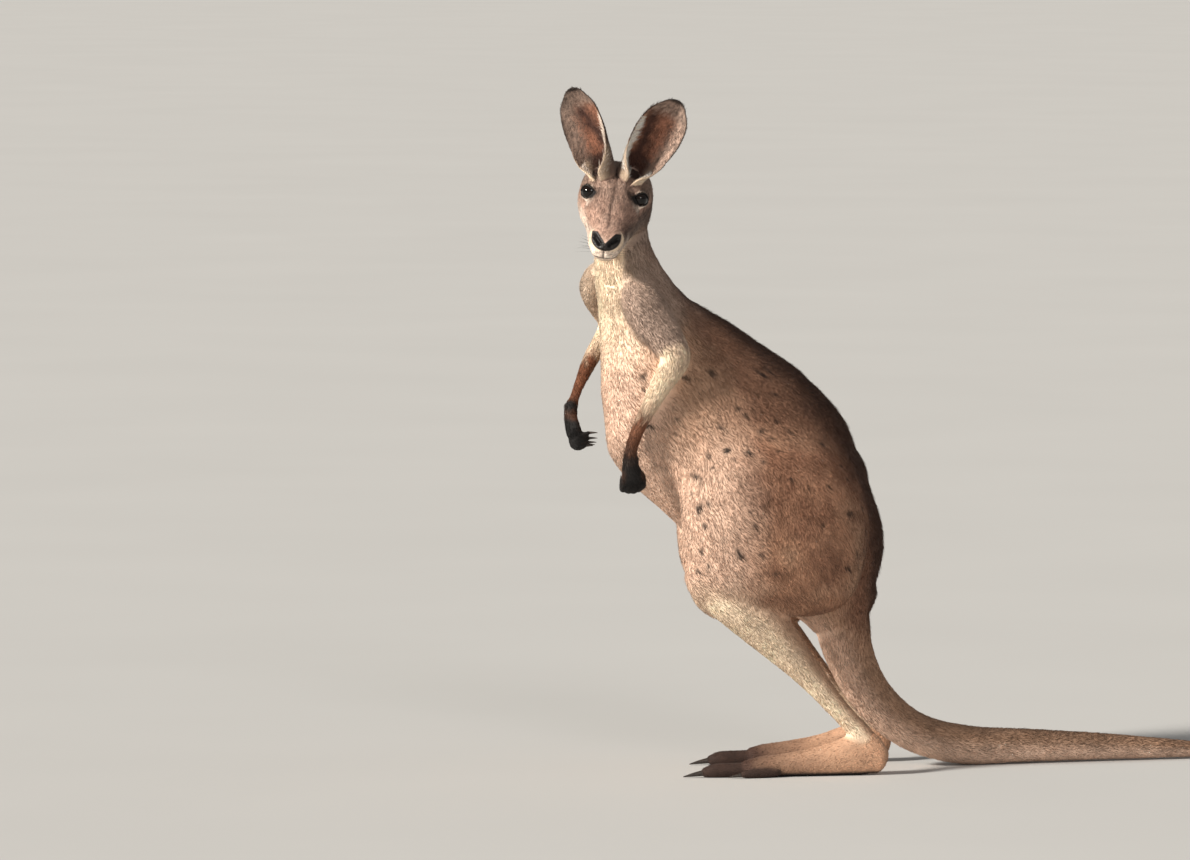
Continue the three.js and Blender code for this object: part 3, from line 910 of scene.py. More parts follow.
def ear_place(points, side):
    """In an ear's own frame: the height, the sweep from -1 to 1 between its edges, the distance outwards
    from the wall's middle, and whether the spot belongs to the ear."""
    matrix, root = ear_pose(side)
    local = (to_head(points) - root) @ matrix
    share = np.linspace(0, 1, 120)
    rows = catmull(EAR, share)
    height = np.clip(local[:, 2], EAR[0][0], EAR[-1][0])
    half = np.interp(height, rows[:, 0], rows[:, 1])
    curl = np.radians(np.interp(height, rows[:, 0], rows[:, 2]))
    radius = half / np.sin(np.minimum(curl, np.pi / 2))
    x, y = local[:, 0], local[:, 1] + EAR_CENTRE * radius
    sweep = np.arctan2(x, y) / curl
    off = np.hypot(x, y) - radius
    head_room = limb_place("head", points)["ratio"]
    mine = (np.abs(off) < EAR_NEAR) & (np.abs(sweep) < EAR_SWEEP) & (head_room > 1.0)
    mine &= (local[:, 2] > EAR_FOOT) & (local[:, 2] < EAR_TOP)
    return {"height": local[:, 2], "sweep": sweep, "off": off, "mine": mine}


def measures(points):
    """For each point: its place on every limb, the nearest limb's number, and its places on the head and
    the ears."""
    names = list(LIMBS)
    places = {name: limb_place(name, points) for name in names}
    ratios = np.stack([places[name]["ratio"] for name in names], 1)
    q = to_head(points)
    return {
        "names": names,
        "places": places,
        "ratios": ratios,
        "nearest": ratios.argmin(1),
        "q": q,
        "ears": {side: ear_place(points, side) for side in SIGN},
    }


def on_limb(spot, start, sharpness=PULL):
    """How much each point belongs to the limbs whose names start so: e^(−sharpness·ratio) as a share of
    all."""
    pull = np.exp(-sharpness * (spot["ratios"] - spot["ratios"].min(1, keepdims=True)))
    mine = [i for i, name in enumerate(spot["names"]) if name.startswith(start)]
    return pull[:, mine].sum(1) / pull.sum(1)


# %% [markdown]
# ## Markings
#
# The coat is warm tan, pinkish on the flank and rusty on the haunch, with a dark line down the nape and
# back, a cream throat, chest, forearm and shank, and hands that darken to black. Small dark flecks are
# scattered on the flank. Some darkening is painted shade: over the back, the nape and the seat, on the
# left cheek, jaw and stripe, in the eyes' inner corners and deep in the ears. Painted light brightens the
# left ear's lining and fringe and painted shade darkens the right one's, and painted highlights run round
# the nose pad and along the lower lids.

# %% Colours of the coat
FLANK = tint(198, 157, 128)
BELLY = tint(238, 202, 178)
CREAM = tint(255, 228, 198)
# dark brown of the back's line, also used as painted shade over the back, the nape and the seat
BACK_DARK_AND_SHADE = tint(72, 50, 41)
GREY_BROWN = tint(184, 158, 142)
RUST = tint(190, 138, 108)
# dark rust of the coat, also used as painted shade towards the back and the seat
DARK_RUST_AND_SHADE = tint(108, 68, 50)
FACE = tint(184, 148, 130)
PALE_FACE = tint(248, 226, 208)
DARK_BROWN = tint(74, 50, 40)
WRIST_BROWN = tint(126, 80, 56)
NEAR_BLACK = tint(26, 20, 18)
EAR_RUST = tint(162, 110, 86)
EAR_DARK = tint(54, 30, 24)

SPECKS = 120
SPECK_SIZE = (2.2, 4.4)  # mm
SPECK_LOW, SPECK_HIGH = 330, 660  # mm above the floor
speck_draw = np.random.default_rng(21)


def speck_centres(points, spot):
    """Skin points of the flanks and haunches, drawn at random, where small dark specks are."""
    trunk = spot["places"]["trunk"]
    flank = (on_limb(spot, "trunk") + on_limb(spot, "thigh") > 0.9) & (np.sin(trunk["around"]) < 0.7)
    flank &= (np.sin(trunk["around"]) > -0.75) & (points[:, 2] > SPECK_LOW) & (points[:, 2] < SPECK_HIGH)
    picks = speck_draw.choice(np.nonzero(flank)[0], SPECKS, replace=False)
    return points[picks], speck_draw.uniform(*SPECK_SIZE, SPECKS)


# %% Markings of the body
PALER = {"left": 0.0, "right": 0.5}  # how much cream is in the grey of each shoulder and upper arm
BROWN_FROM = {"left": 0.68, "right": 0.56}  # the share along each arm where the brown of the wrist starts
CHEST_RISE, RUST_FALL, KNEE_FALL, SOLE_FALL = (640, 780), (640, 440), (330, 270), (9, 3)  # heights in mm
HAUNCH_MIDDLE, HAUNCH_WIDTH, HAUNCH_PULL = (115, -40, 450), 58, 5
# the darkening towards the seat, from HAUNCH_SEAT and SEAT_MOTTLE, is partly painted shade
HAUNCH_FRONT, HAUNCH_SEAT, SEAT_MOTTLE = (-20, -110), (60, 175), (90, 190)  # y in mm
HAND_BLACK = NEAR_BLACK * 0.5


def trunk_colour(rise, z, coarse, ripple):
    """Belly, flank, rusty loin and the dark line of the back, with painted shade that darkens the coat
    towards the back. rise is -1 along the belly and 1 along the back."""
    return painted(
        FLANK,
        (BELLY, smoothstep(-0.35, -0.9, rise + 0.25 * (coarse - 0.5))),
        (CREAM, smoothstep(*CHEST_RISE, z + 60 * coarse) * smoothstep(0.0, -0.75, rise)),
        (RUST, 0.6 * smoothstep(*RUST_FALL, z) * smoothstep(-0.5, 0.3, rise)),
        # darker rust towards the back: partly the coat's own colour, partly painted shade
        (DARK_RUST_AND_SHADE, 0.74 * smoothstep(-0.3, 0.5, rise + 0.4 * ripple)),
        # the dark line of the back, widened into painted shade
        (BACK_DARK_AND_SHADE, 0.9 * smoothstep(0.5, 0.9, rise + 0.2 * ripple)),
    )


def neck_colour(nape, q, ripple):
    """A cream throat, grey-brown sides with painted shade under the left jaw, and the dark line of the nape,
    partly painted shade.
    """
    # painted shade: the neck's side is darkened under the left jaw only
    shade_under_left_jaw = smoothstep(16, 40, q[:, 0]) * smoothstep(-135, -95, q[:, 2])
    lift = nape + 0.3 * ripple + 0.9 * shade_under_left_jaw
    sides = smoothstep(-0.55, 0.0, lift)
    # the nape's dark line is partly painted shade
    return painted(CREAM, (GREY_BROWN * 0.72, sides), (BACK_DARK_AND_SHADE, 0.8 * smoothstep(0.45, 0.95, nape)))


def haunch_colour(points, sign, coarse, mottle, fleck):
    """Rusty and mottled with a dark heart, paler in front and down to the knee, dark towards the seat, which
    is partly painted shade.
    """
    y, z, ripple = points[:, 1], points[:, 2], mottle - 0.5
    heart = bell(distance(points, np.multiply(HAUNCH_MIDDLE, [sign, 1, 1]), [0.5, 1, 1]), HAUNCH_WIDTH)
    front = smoothstep(*HAUNCH_FRONT, y + 30 * ripple)
    return painted(
        FLANK,
        (RUST, 0.7 * smoothstep(0.3, 0.6, coarse + 0.15)),
        (DARK_RUST_AND_SHADE, smoothstep(0.42, 0.64, 0.55 * mottle + 0.45 * coarse) * 0.5),
        (RUST * 0.68, 0.85 * heart),
        (DARK_RUST_AND_SHADE, 0.95 * heart * smoothstep(0.4, 0.6, 0.5 * mottle + 0.5 * fleck)),
        (BELLY, 0.9 * front),
        # darker towards the seat: partly the coat's own colour, partly painted shade
        (BACK_DARK_AND_SHADE, 0.7 * smoothstep(*HAUNCH_SEAT, y + 40 * ripple)),
        (CREAM, 0.6 * smoothstep(*KNEE_FALL, z) * front),
        # dark mottles towards the seat, partly painted shade
        (DARK_RUST_AND_SHADE, 0.5 * smoothstep(*SEAT_MOTTLE, y) * smoothstep(0.35, 0.6, mottle)),
    )


def arm_colour(along, upper, brown_from, fleck):
    """Grey-brown, cream from the elbow, brown towards the wrist, then black. along is the share from the
    shoulder."""
    along = along + 0.1 * (fleck - 0.5)
    return painted(
        upper,
        (CREAM, smoothstep(0.38, 0.52, along)),
        (WRIST_BROWN, smoothstep(brown_from, brown_from + 0.12, along)),
        (NEAR_BLACK, 0.95 * smoothstep(0.82, 1.0, along)),
    )


def tail_colour(top, along, mottle):
    """Tan and pale below, rusty at the root and brown at the tip."""
    return painted(
        BELLY,
        (FLANK * 0.85, smoothstep(-0.6, 0.5, top)),
        (DARK_RUST_AND_SHADE, 0.6 * smoothstep(0.28, 0.05, along) * smoothstep(-0.4, 0.6, top + mottle - 0.5)),
        (DARK_BROWN, 0.7 * smoothstep(0.75, 1.0, along)),
    )


def markings(points, spot):
    """The coat's colour at each point: trunk, neck, shoulders, limbs, tail, flecks and specks, then head
    and ears."""
    places = spot["places"]
    coarse, mottle, fleck = noise(points, 60, 1), noise(points, 22, 2), noise(points, 7, 3)
    ripple = mottle - 0.5
    z = points[:, 2]
    rise, nape = np.sin(places["trunk"]["around"]), np.sin(places["neck"]["around"])
    colour = trunk_colour(rise, z, coarse, ripple)
    colour = mix(colour, neck_colour(nape, spot["q"], ripple), on_limb(spot, "neck"))
    greys = {side: mix(GREY_BROWN, CREAM, PALER[side]) for side in SIGN}
    for side in SIGN:
        gap = distance(points, ARMS[side][1][:3], [1, 1, 0.8])
        ahead = smoothstep(-0.75, -0.4, np.maximum(rise, nape))
        colour = mix(colour, greys[side], 0.8 * smoothstep(80, 45, gap + 16 * ripple) * ahead)
    for side, sign in SIGN.items():
        foot_limbs = (f"foot_{side}", f"toe_{side}")
        hand_limbs = (f"palm_{side}", f"finger_{side}")
        shank = mix(CREAM, FLANK, smoothstep(0.0, 0.9, np.sin(places[f"shank_{side}"]["around"])))
        foot_along = places[f"foot_{side}"]["along"] + 0.2 * ripple
        foot = painted(
            FLANK, (DARK_BROWN, smoothstep(0.35, 1.0, foot_along)), (NEAR_BLACK, smoothstep(*SOLE_FALL, z))
        )
        arm_along = places[f"arm_{side}"]["along"] + 0.05 * ripple
        arm = arm_colour(arm_along, greys[side], BROWN_FROM[side], fleck)
        hand = mix(HAND_BLACK, WRIST_BROWN * 0.7, 0.5 * smoothstep(0.45, 0.8, mottle))
        haunch = haunch_colour(points, sign, coarse, mottle, fleck)
        colour = painted(
            colour,
            (haunch, on_limb(spot, f"thigh_{side}", HAUNCH_PULL) * smoothstep(0.9, 0.45, rise)),
            (shank, on_limb(spot, (f"shank_{side}", *foot_limbs))),
            (foot, on_limb(spot, foot_limbs)),
            (mix(DARK_BROWN, NEAR_BLACK, 0.5), on_limb(spot, f"toe_{side}")),
            (arm, on_limb(spot, (f"arm_{side}", *hand_limbs))),
            (hand, on_limb(spot, hand_limbs)),
            (HAND_BLACK, on_limb(spot, f"finger_{side}")),
        )
    tail = places["tail"]
    colour = mix(colour, tail_colour(np.sin(tail["around"]), tail["along"], mottle), on_limb(spot, "tail"))
    colour = colour * (0.68 + 0.34 * fleck + 0.26 * mottle)[:, None]
    gap = np.full(len(points), 9.0)
    for place, size in zip(*SPECK_PLACES):
        gap = np.minimum(gap, distance(points, place, [1, 0.7, 1]) / size)
    colour = mix(colour, NEAR_BLACK, 0.95 * smoothstep(1.2, 0.9, gap))
    colour = mix(colour, face_markings(points, spot), on_limb(spot, "head"))
    return ear_markings(colour, points, spot)


# %% Markings of the head
MUZZLE_LINE = [-105, -95, -80, -60, -20, 20]  # y along the head, and its half-width there
MUZZLE_WIDTHS = [14, 22, 28, 33, 46, 56]
STRIPE_FROM, STRIPE_TO, STRIPE_WIDTH = np.array([22, -36, 0]), np.array([28, -88, -40]), 10
# the stripe is the face's own marking; its much greater darkness on the left side is painted shade
STRIPE_DARK_AND_SHADE = {"left": 0.7, "right": 0.12}  # the stripe from the eye to the mouth
# the inner corner's dark skin is deepened by painted shade, more on the left side
CORNER_DARK_AND_SHADE = {"left": 0.65, "right": 0.4}  # the inner corner of the eye
BROW_SPOT, BROW_SHADE = (33, 1, 26), (36, 6, 24)


def eye_markings(colour, q, side):
    """A dark brow with a pale spot, a pale fold above, a painted highlight along the lower lid, and dark
    skin at the lids' edge and inner corner, where painted shade deepens it."""
    sign = SIGN[side]
    gap, far, high, out = lid_gap(q, sign)
    near = smoothstep(36, 28, far)
    crease = smoothstep(8, 20, high) * smoothstep(60, 20, np.abs(out))
    corner = bell(gap - 1, 3.6) * smoothstep(-40, -58, out) * near * smoothstep(-14, 2, high)
    return painted(
        colour,
        (DARK_BROWN, 0.5 * bell(distance(q, np.multiply(BROW_SHADE, [sign, 1, 1]), [1, 0.8, 1]), 13)),
        (PALE_FACE, 0.8 * bell(distance(q, np.multiply(BROW_SPOT, [sign, 1, 1])), 3.5)),
        (DARK_BROWN, 0.55 * bell(gap - 1, 4.0) * near),
        (PALE_FACE, 0.85 * bell(gap - 3.2, 1.3) * near * crease),
        # a painted highlight: a pale band along the lower lid
        (PALE_FACE, 0.95 * bell(gap - 2.6, 1.2) * near * smoothstep(-6, -14, high)),
        # dark skin of the inner corner, deepened as painted shade
        (NEAR_BLACK, CORNER_DARK_AND_SHADE[side] * corner),
        (NEAR_BLACK * 0.6, smoothstep(1.5, 0.8, gap) * near),
    )


def face_markings(points, spot):
    """The head's colour: pinkish brown, pale cheeks and lips, a dark midline, dark lids and a black nose
    pad, with painted shade on the left cheek and along the left stripe, and a painted highlight round the
    pad."""
    q = spot["q"]
    x, y, z = q.T
    mottle, fine = noise(points, 9, 4), noise(points, 3.5, 5)
    ripple = mottle - 0.5
    above = z > -20
    low = smoothstep(-12, -32, z + 10 * ripple + 0.1 * np.abs(y + 40))
    bridge = bell(x + 3 * ripple, 13) * smoothstep(10, -10, y) * smoothstep(-94, -80, y) * above
    streak = bell(x + 4 * ripple, 2.6) * smoothstep(-90, -76, y) * smoothstep(60, 20, y) * above
    tuft = bell(x - 2 - 0.2 * (y - 20), 4) * smoothstep(2, 12, y) * smoothstep(40, 26, y) * (z > 10)
    across = np.interp(y, MUZZLE_LINE, MUZZLE_WIDTHS)
    # painted shade on the left cheek: x / across counts only on the animal's left side
    cheek = smoothstep(0.5, 0.86, x / across) * smoothstep(-101, -93, y) * smoothstep(50, 20, y)
    cheek = cheek * smoothstep(-6, -24, z + 6 * ripple)
    colour = painted(
        FACE,
        (PALE_FACE, 0.85 * low * smoothstep(40, -20, y)),
        (CREAM, smoothstep(-50, -62, z - 0.12 * (y + 50))),
        (GREY_BROWN * 0.62, 0.5 * smoothstep(-60, -20, y) * smoothstep(-12, 6, z)),
        (GREY_BROWN * 0.7, 0.4 * (smoothstep(-20, 25, y) * smoothstep(-30, 5, z))),
        (GREY_BROWN * 0.55, 0.6 * bridge * smoothstep(0.25, 0.6, mottle)),
        (DARK_BROWN, 0.75 * streak),
        (DARK_BROWN, 0.9 * tuft),
        # the left cheek's painted shade
        (mix(GREY_BROWN, DARK_BROWN, 0.82), 0.9 * cheek),
    )
    run = STRIPE_TO - STRIPE_FROM
    for side, sign in SIGN.items():
        offset = q * [sign, 1, 1] - STRIPE_FROM
        share = np.clip(offset @ run / (run @ run), 0, 1)
        gap = distance(offset, share[:, None] * run)
        # the dark stripe, strengthened on the left side as painted shade
        colour = mix(colour, DARK_BROWN, STRIPE_DARK_AND_SHADE[side] * bell(gap, STRIPE_WIDTH))
    for side in SIGN:
        colour = eye_markings(colour, q, side)
    lip = smoothstep(-50, -64, y) * bell(mouth_gap(q) - 6, 10)
    row = np.sin(z * 1.1 + 0.25 * y) * np.sin(y * 0.9 - 0.4 * z)
    colour = painted(colour, (PALE_FACE, 0.7 * lip), (DARK_BROWN, 0.85 * lip * smoothstep(0.6, 0.85, row)))
    colour = colour * (0.4 + 0.8 * fine + 0.38 * mottle)[:, None]
    mouth = bell(mouth_gap(q), 1.9) * smoothstep(MOUTH_BACK + 4, MOUTH_BACK - 6, y)
    philtrum = bell(x, 1.4) * smoothstep(-84, -88, front_height(q)) * (mouth_gap(q) > -1) * (y < -90)
    return painted(
        colour,
        # a painted highlight: a pale ring round the nose pad's rim
        (CREAM, 0.85 * bell(pad_highlight_ring(q), 0.1) * (y < -80)),
        (NEAR_BLACK * 0.8, pad_share(q)),
        (NEAR_BLACK * 0.3, bell(nostril_gap(q), 2.6) * (y < MUZZLE_TIP)),
        (NEAR_BLACK * 0.7, 0.95 * mouth),
        (NEAR_BLACK, 0.8 * philtrum),
    )


def pad_highlight_ring(q):
    """0 on an oval just outside the nose pad, in shares of the oval's own half-sizes: where the painted
    highlight runs.
    """
    height = front_height(q)
    ring = np.hypot(q[:, 0] / 26.0, (height + 68) / 24.0) - 1
    return np.where(pad_outline(height) > 0, ring, 9.0)


# %% Markings of the ears
# the left ear's lining is painted lighter, as painted light, and the right one darker, as painted shade
EAR_LINING_LIGHT_AND_SHADE = {"left": 1.15, "right": 0.8}  # how light each ear's lining is
# the dark middle of each ear starts at start + slope·(h − level); in the left ear it also stands for a
# painted shadow of the inner rim
EAR_BAND = {"left": (0.1, 0.006, 30), "right": (0.25, -0.009, 45)}


def ear_markings(colour, points, spot):
    """Rusty inside with a dark middle, a pale inner edge, a speckled outer edge, and a dark rim and back.
    The left lining carries painted light and the right painted shade, the left ear's dark middle is partly a
    painted shadow of its inner rim, and the skin inside each ear's root is painted dark as shade. s runs
    from -1 at the outer edge to 1 at the inner one, and h is the height."""
    speckle, mottle = noise(points, 2.6, 6), noise(points, 9, 12)
    grain, ripple = speckle - 0.5, mottle - 0.5
    for side, sign in SIGN.items():
        ear = spot["ears"][side]
        s, h = ear["sweep"] * -sign, ear["height"]
        start, slope, level = EAR_BAND[side]
        # the ear's dark middle, in the left ear partly a painted shadow of the inner rim
        dark = bell(s - (start + slope * (h - level)) + 0.25 * ripple, 0.34) * smoothstep(118, 92, h)
        speckled = GREY_BROWN * EAR_LINING_LIGHT_AND_SHADE[side] * (0.15 + 1.2 * speckle)[:, None]
        edge = bell(s - 0.84 + 0.1 * ripple, 0.09) * smoothstep(98, 76, h)
        low = smoothstep(0.35, 0.65, s + 0.3 * grain) * smoothstep(58, 30, h)
        foot = smoothstep(-0.35, -0.7, s) * smoothstep(17, 4, h)
        rim = smoothstep(0.9, 1.0, np.abs(s)) * smoothstep(30, 60, h) + smoothstep(124, 133, h)
        rim = np.clip(rim, 0, 1)
        lining = painted(
            EAR_RUST * EAR_LINING_LIGHT_AND_SHADE[side] * (0.25 + 1.35 * speckle)[:, None],
            (EAR_DARK, 0.92 * np.clip(dark + smoothstep(26, 10, h), 0, 1)),
            (speckled, 0.9 * smoothstep(-0.2, -0.7, s + 0.3 * grain)),
            (speckled * 0.7, 0.9 * smoothstep(92, 112, h + 16 * grain)),
            (CREAM, 0.85 * np.clip(edge + low + foot, 0, 1)),
            (NEAR_BLACK, 0.85 * rim),
        )
        outside = painted(
            GREY_BROWN * 0.6,
            (DARK_BROWN, smoothstep(0.3, 0.9, np.abs(s))),
            (CREAM, 0.9 * smoothstep(40, 14, h) * smoothstep(0.1, -0.5, s)),
            (CREAM, 0.6 * smoothstep(50, 14, h + 10 * ripple) * smoothstep(0.6, 0.95, s)),
            (NEAR_BLACK, 0.8 * rim),
        )
        both = mix(lining, outside, smoothstep(-0.6, 0.6, ear["off"]))
        # painted shade: the head's skin inside each ear's root is painted dark
        within = (ear["off"] < -3) & (h > -10) & (h < 40) & ~ear["mine"] & (np.abs(ear["sweep"]) < 9)
        colour = painted(colour, (both, ear["mine"].astype(float)), (EAR_DARK, 0.9 * within))
    return colour


# %% Paint the skin
def set_colour(piece, colour, name="coat_colour"):
    """Stores a colour for each point, for the material to read."""
    rgba = np.ones((len(colour), 4), np.float32)
    rgba[:, :3] = np.clip(colour, 0, 1)
    layer = piece.data.attributes.new(name, "FLOAT_COLOR", "POINT")
    layer.data.foreach_set("color", rgba.ravel())


def set_number(piece, name, values):
    """Stores a number for each point, for the material to read."""
    layer = piece.data.attributes.new(name, "FLOAT", "POINT")
    layer.data.foreach_set("value", np.asarray(values, np.float32))


skin_points = body_points(skin)
skin_spot = measures(skin_points)
SPECK_PLACES = speck_centres(skin_points, skin_spot)
skin_colour = markings(skin_points, skin_spot)
set_colour(skin, skin_colour)
set_number(skin, "bare", pad_share(skin_spot["q"]) * on_limb(skin_spot, "head"))
print("painted", len(skin_points), "points")


# %% The list of pieces
PIECES = []  # the finished pieces beside the skin; "finish", "slot" and "stands_for" say how each is used


def keep_piece(piece, finish, slot, stands_for=""):
    """Notes a finished piece with its finish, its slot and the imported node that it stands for, if any."""
    piece["finish"] = finish
    piece["slot"] = slot
    if stands_for:
        piece["stands_for"] = stands_for
    PIECES.append(piece)
    return piece


# %% [markdown]
# ## Eyes
#
# A kangaroo's eye is large, dark and wet, with hardly any white. The ball is a surface of revolution
# about the eye's own axis whose front bulges as the cornea does. Dark moist rims run along the lids'
# edge, with short lashes above.

# %% The eyeballs
EYE_RINGS, EYE_SIDES = 40, 48
CORNEA_RISE, CORNEA_WIDTH = 0.8, 32  # mm, and degrees from the eye's axis
PUPIL, IRIS = 15, 46  # half-angles in degrees
IRIS_FIBRES = 40
EYE_BROWN, EYE_RIM = tint(24, 15, 10), tint(24, 17, 14)


def eye_grid(side, angle, turn, radius=EYE_RADIUS):
    """p = centre + (radius + rise·bell(angle))·(cos angle·axis + sin angle·(cos turn·out + sin
    turn·up))."""
    axis, out, up = eye_axes(side)
    reach = radius + CORNEA_RISE * bell(np.degrees(angle), CORNEA_WIDTH)
    way = np.cos(angle)[..., None] * axis
    way = way + np.sin(angle)[..., None] * (np.cos(turn)[..., None] * out + np.sin(turn)[..., None] * up)
    return np.array([side * EYE_SPREAD, 0, 0]) + reach[..., None] * way


def outward_faces(piece):
    """Turns a closed mesh's faces outwards."""
    grid = bmesh.new()
    grid.from_mesh(piece.data)
    bmesh.ops.recalc_face_normals(grid, faces=grid.faces)
    grid.to_mesh(piece.data)
    grid.free()


for name, side in SIGN.items():
    angle = np.linspace(0, np.pi, EYE_RINGS)[:, None]
    turn = (np.arange(EYE_SIDES) * 2 * np.pi / EYE_SIDES)[None]
    angle, turn = np.broadcast_arrays(angle, turn)
    points, faces = closed_tube(from_head(eye_grid(side, angle, turn)))
    ball = new_mesh(f"eyeball_{name}", points, faces)
    outward_faces(ball)
    axis, out, up = eye_axes(side)
    way = unit(to_head(points) - [side * EYE_SPREAD, 0, 0])
    h, v = (np.degrees(np.arcsin(np.clip(way @ direction, -1, 1))) for direction in (out, up))
    gaze = between_ways(way, axis)
    fibres = 0.5 + 0.5 * np.sin(IRIS_FIBRES * np.arctan2(v, h) + 6 * noise(points, 2, 7))
    colour = painted(
        EYE_BROWN * 0.7,
        (EYE_BROWN, 0.6 * fibres),
        (NEAR_BLACK * 0.2, smoothstep(PUPIL + 3, PUPIL - 3, np.hypot(h * 0.75, v * 1.15))),
        (NEAR_BLACK * 0.4, smoothstep(IRIS - 8, IRIS, gaze)),
        (EYE_RIM, 0.7 * smoothstep(IRIS + 8, IRIS + 18, gaze)),
    )
    set_colour(ball, colour)
    keep_piece(ball, "eye", "eye", f"eye_{name}")
print("eyeballs of", len(points), "points")


# %% Lid rims
RIM_STEPS, RIM_SIDES = 120, 10
RIM_HALF, RIM_INSIDE = 0.7, 0.1  # mm


def ring_tube(line, radii, sides):
    """A closed loop thickened: p = line + radius·(cos a·n + sin a·b), n and b square to the loop."""
    tangent = unit(np.roll(line, -1, 0) - np.roll(line, 1, 0))
    away = unit(line - line.mean(0))
    n = unit(away - (away * tangent).sum(1, keepdims=True) * tangent)
    b = np.cross(tangent, n)
    a = (np.arange(sides) * 2 * np.pi / sides)[None, :, None]
    grid = line[:, None] + radii[:, None, None] * (np.cos(a) * n[:, None] + np.sin(a) * b[:, None])
    steps = len(line)
    i, j = np.meshgrid(np.arange(steps), np.arange(sides), indexing="ij")
    i, j, i2, j2 = i.ravel(), j.ravel(), (i.ravel() + 1) % steps, (j.ravel() + 1) % sides
    quads = np.stack([i * sides + j, i * sides + j2, i2 * sides + j2, i2 * sides + j], 1)
    return grid.reshape(-1, 3), quads.tolist()


for name, side in SIGN.items():
    turn = np.arange(RIM_STEPS) * 2 * np.pi / RIM_STEPS
    edge = np.radians(lid_edge(turn))
    flat = LID_RADIUS - RIM_INSIDE - CORNEA_RISE * bell(np.degrees(edge), CORNEA_WIDTH)
    line = eye_grid(side, edge, turn, flat)
    radii = RIM_HALF * (1 + 0.25 * np.sin(turn) * (np.sin(turn) > 0))
    points, faces = ring_tube(from_head(line), radii, RIM_SIDES)
    rim = new_mesh(f"lid_rim_{name}", points, faces)
    outward_faces(rim)
    set_colour(rim, np.broadcast_to(NEAR_BLACK * 0.5, points.shape))
    set_number(rim, "bare", np.ones(len(points)))
    keep_piece(rim, "skin", "face")
print("lid rims of", len(points), "points")


# %% [markdown]
# ## Claws
#
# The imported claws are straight-sided stand-ins. A real claw is a curved horn, deeper than it is wide,
# thick at its cuticle and ending in a blunt tip, so each is lofted again with more sides and a slight
# ridge.

# %% Fine claws
CLAW_ROOT, CLAW_SECTIONS = -0.3, 9  # a claw starts inside its digit, by this share of its length
CLAW_TIP, CLAW_TAPER, CLAW_NECK = 0.05, 0.62, 0.85
CLAW_SHAPE = (0.86, 1.1, 1.0)  # half-width, back and front against the radius
CLAW_GRID = (16, 28)  # sides and spans
TOE_HOOK, FINGER_HOOK = 0.05, 0.1


def fine_claw(name, base, way, length, radius, hook):
    """Sections along p = base + length·(way·s − hook·s²·up), with half-sizes radius·(1 − s)^0.62, deeper
    than wide."""
    way = unit(np.array(way, float))
    share = np.linspace(CLAW_ROOT, 1, CLAW_SECTIONS)
    drop = hook * np.clip(share, 0, 1) ** 2 * length
    places = np.array(base) + np.outer(share * length, way) + np.outer(drop, [0, 0, -1])
    half = radius * np.clip(1.0 - np.clip(share, 0, 1), CLAW_TIP, 1) ** CLAW_TAPER
    half = half * np.where(share < 0, CLAW_NECK, 1)
    rows = [[*p, *(r * np.array(CLAW_SHAPE)), 0] for p, r in zip(places, half)]
    points, faces = loft(rows, *CLAW_GRID, square=1.8, dome_rows=3)
    claw = new_mesh(f"fine_{name}", points, faces)
    outward_faces(claw)
    return keep_piece(claw, "claw", "claw", name)


for side, sign in SIGN.items():
    sole = [0, 0, 0] if side == "left" else RIGHT_FOOT
    for i, (path, radius, length, claw_radius) in enumerate(TOES):
        base = np.multiply(shifted([[*path[-1]]], sole, sole)[0], [sign, 1, 1])
        fine_claw(f"toe_claw_{side}_{i + 1}", base, TOE_CLAW_WAY, length, claw_radius, TOE_HOOK)
    for i in range(len(FINGER_SPREAD)):
        knuckle = LIMBS[f"finger_{side}_{i + 1}"]["rows"][-1][:3]
        name = f"finger_claw_{side}_{i + 1}"
        fine_claw(name, knuckle, HANDS[side]["claw"], FINGER_CLAW, FINGER_CLAW_RADIUS, FINGER_HOOK)
print(sum(piece["finish"] == "claw" for piece in PIECES), "claws")


# %% [markdown]
# ## The coat
#
# The coat is thousands of thin tapered tufts. Their roots are scattered over the skin's triangles, as
# many to each as its area allows. Each tuft lies along the body, from the nose and the spine towards the
# toes and the tail's tip, and is lifted only a little, so that tufts overlap like thatch. Long ones are
# bent in two segments, short ones straight. Noise turns neighbouring tufts together, which makes the
# swirls and clumps of real fur.

# %% How the coat grows at each point of the skin
# spacing, length and half-width in mm, then the lift and the turns by coarse and by fine noise in degrees
REGIONS = {
    "trunk": (2.35, 9.5, 0.54, 12, 13, 17),
    "thigh": (2.35, 9.5, 0.54, 13, 34, 20),
    "neck": (2.0, 9.5, 0.48, 13, 8, 11),
    "tail": (2.3, 9, 0.6, 11, 10, 18),
    "shank": (2.1, 8, 0.55, 11, 10, 18),
    "foot": (2.0, 6, 0.5, 9, 8, 14),
    "toe": (1.8, 4, 0.45, 9, 8, 10),
    "arm": (1.9, 8.5, 0.55, 12, 10, 22),
    "palm": (1.7, 5, 0.45, 10, 8, 12),
    "finger": (1.6, 3, 0.38, 9, 6, 8),
    "head": (1.6, 6.0, 0.46, 12, 12, 20),
    "ear": (1.5, 5, 0.4, 9, 8, 18),
}


CHEEK_LONGER, SPINE_LONGER, MUZZLE_SHORTER, CHEST_STRAIGHTER = 3.0, 3, 0.45, 0.45
SPINE_LIFT, SPINE_TURN = 7, 14  # degrees
LENGTH, LIFT, COARSE_TURN, FINE_TURN = 1, 3, 4, 5  # places in a row of REGIONS


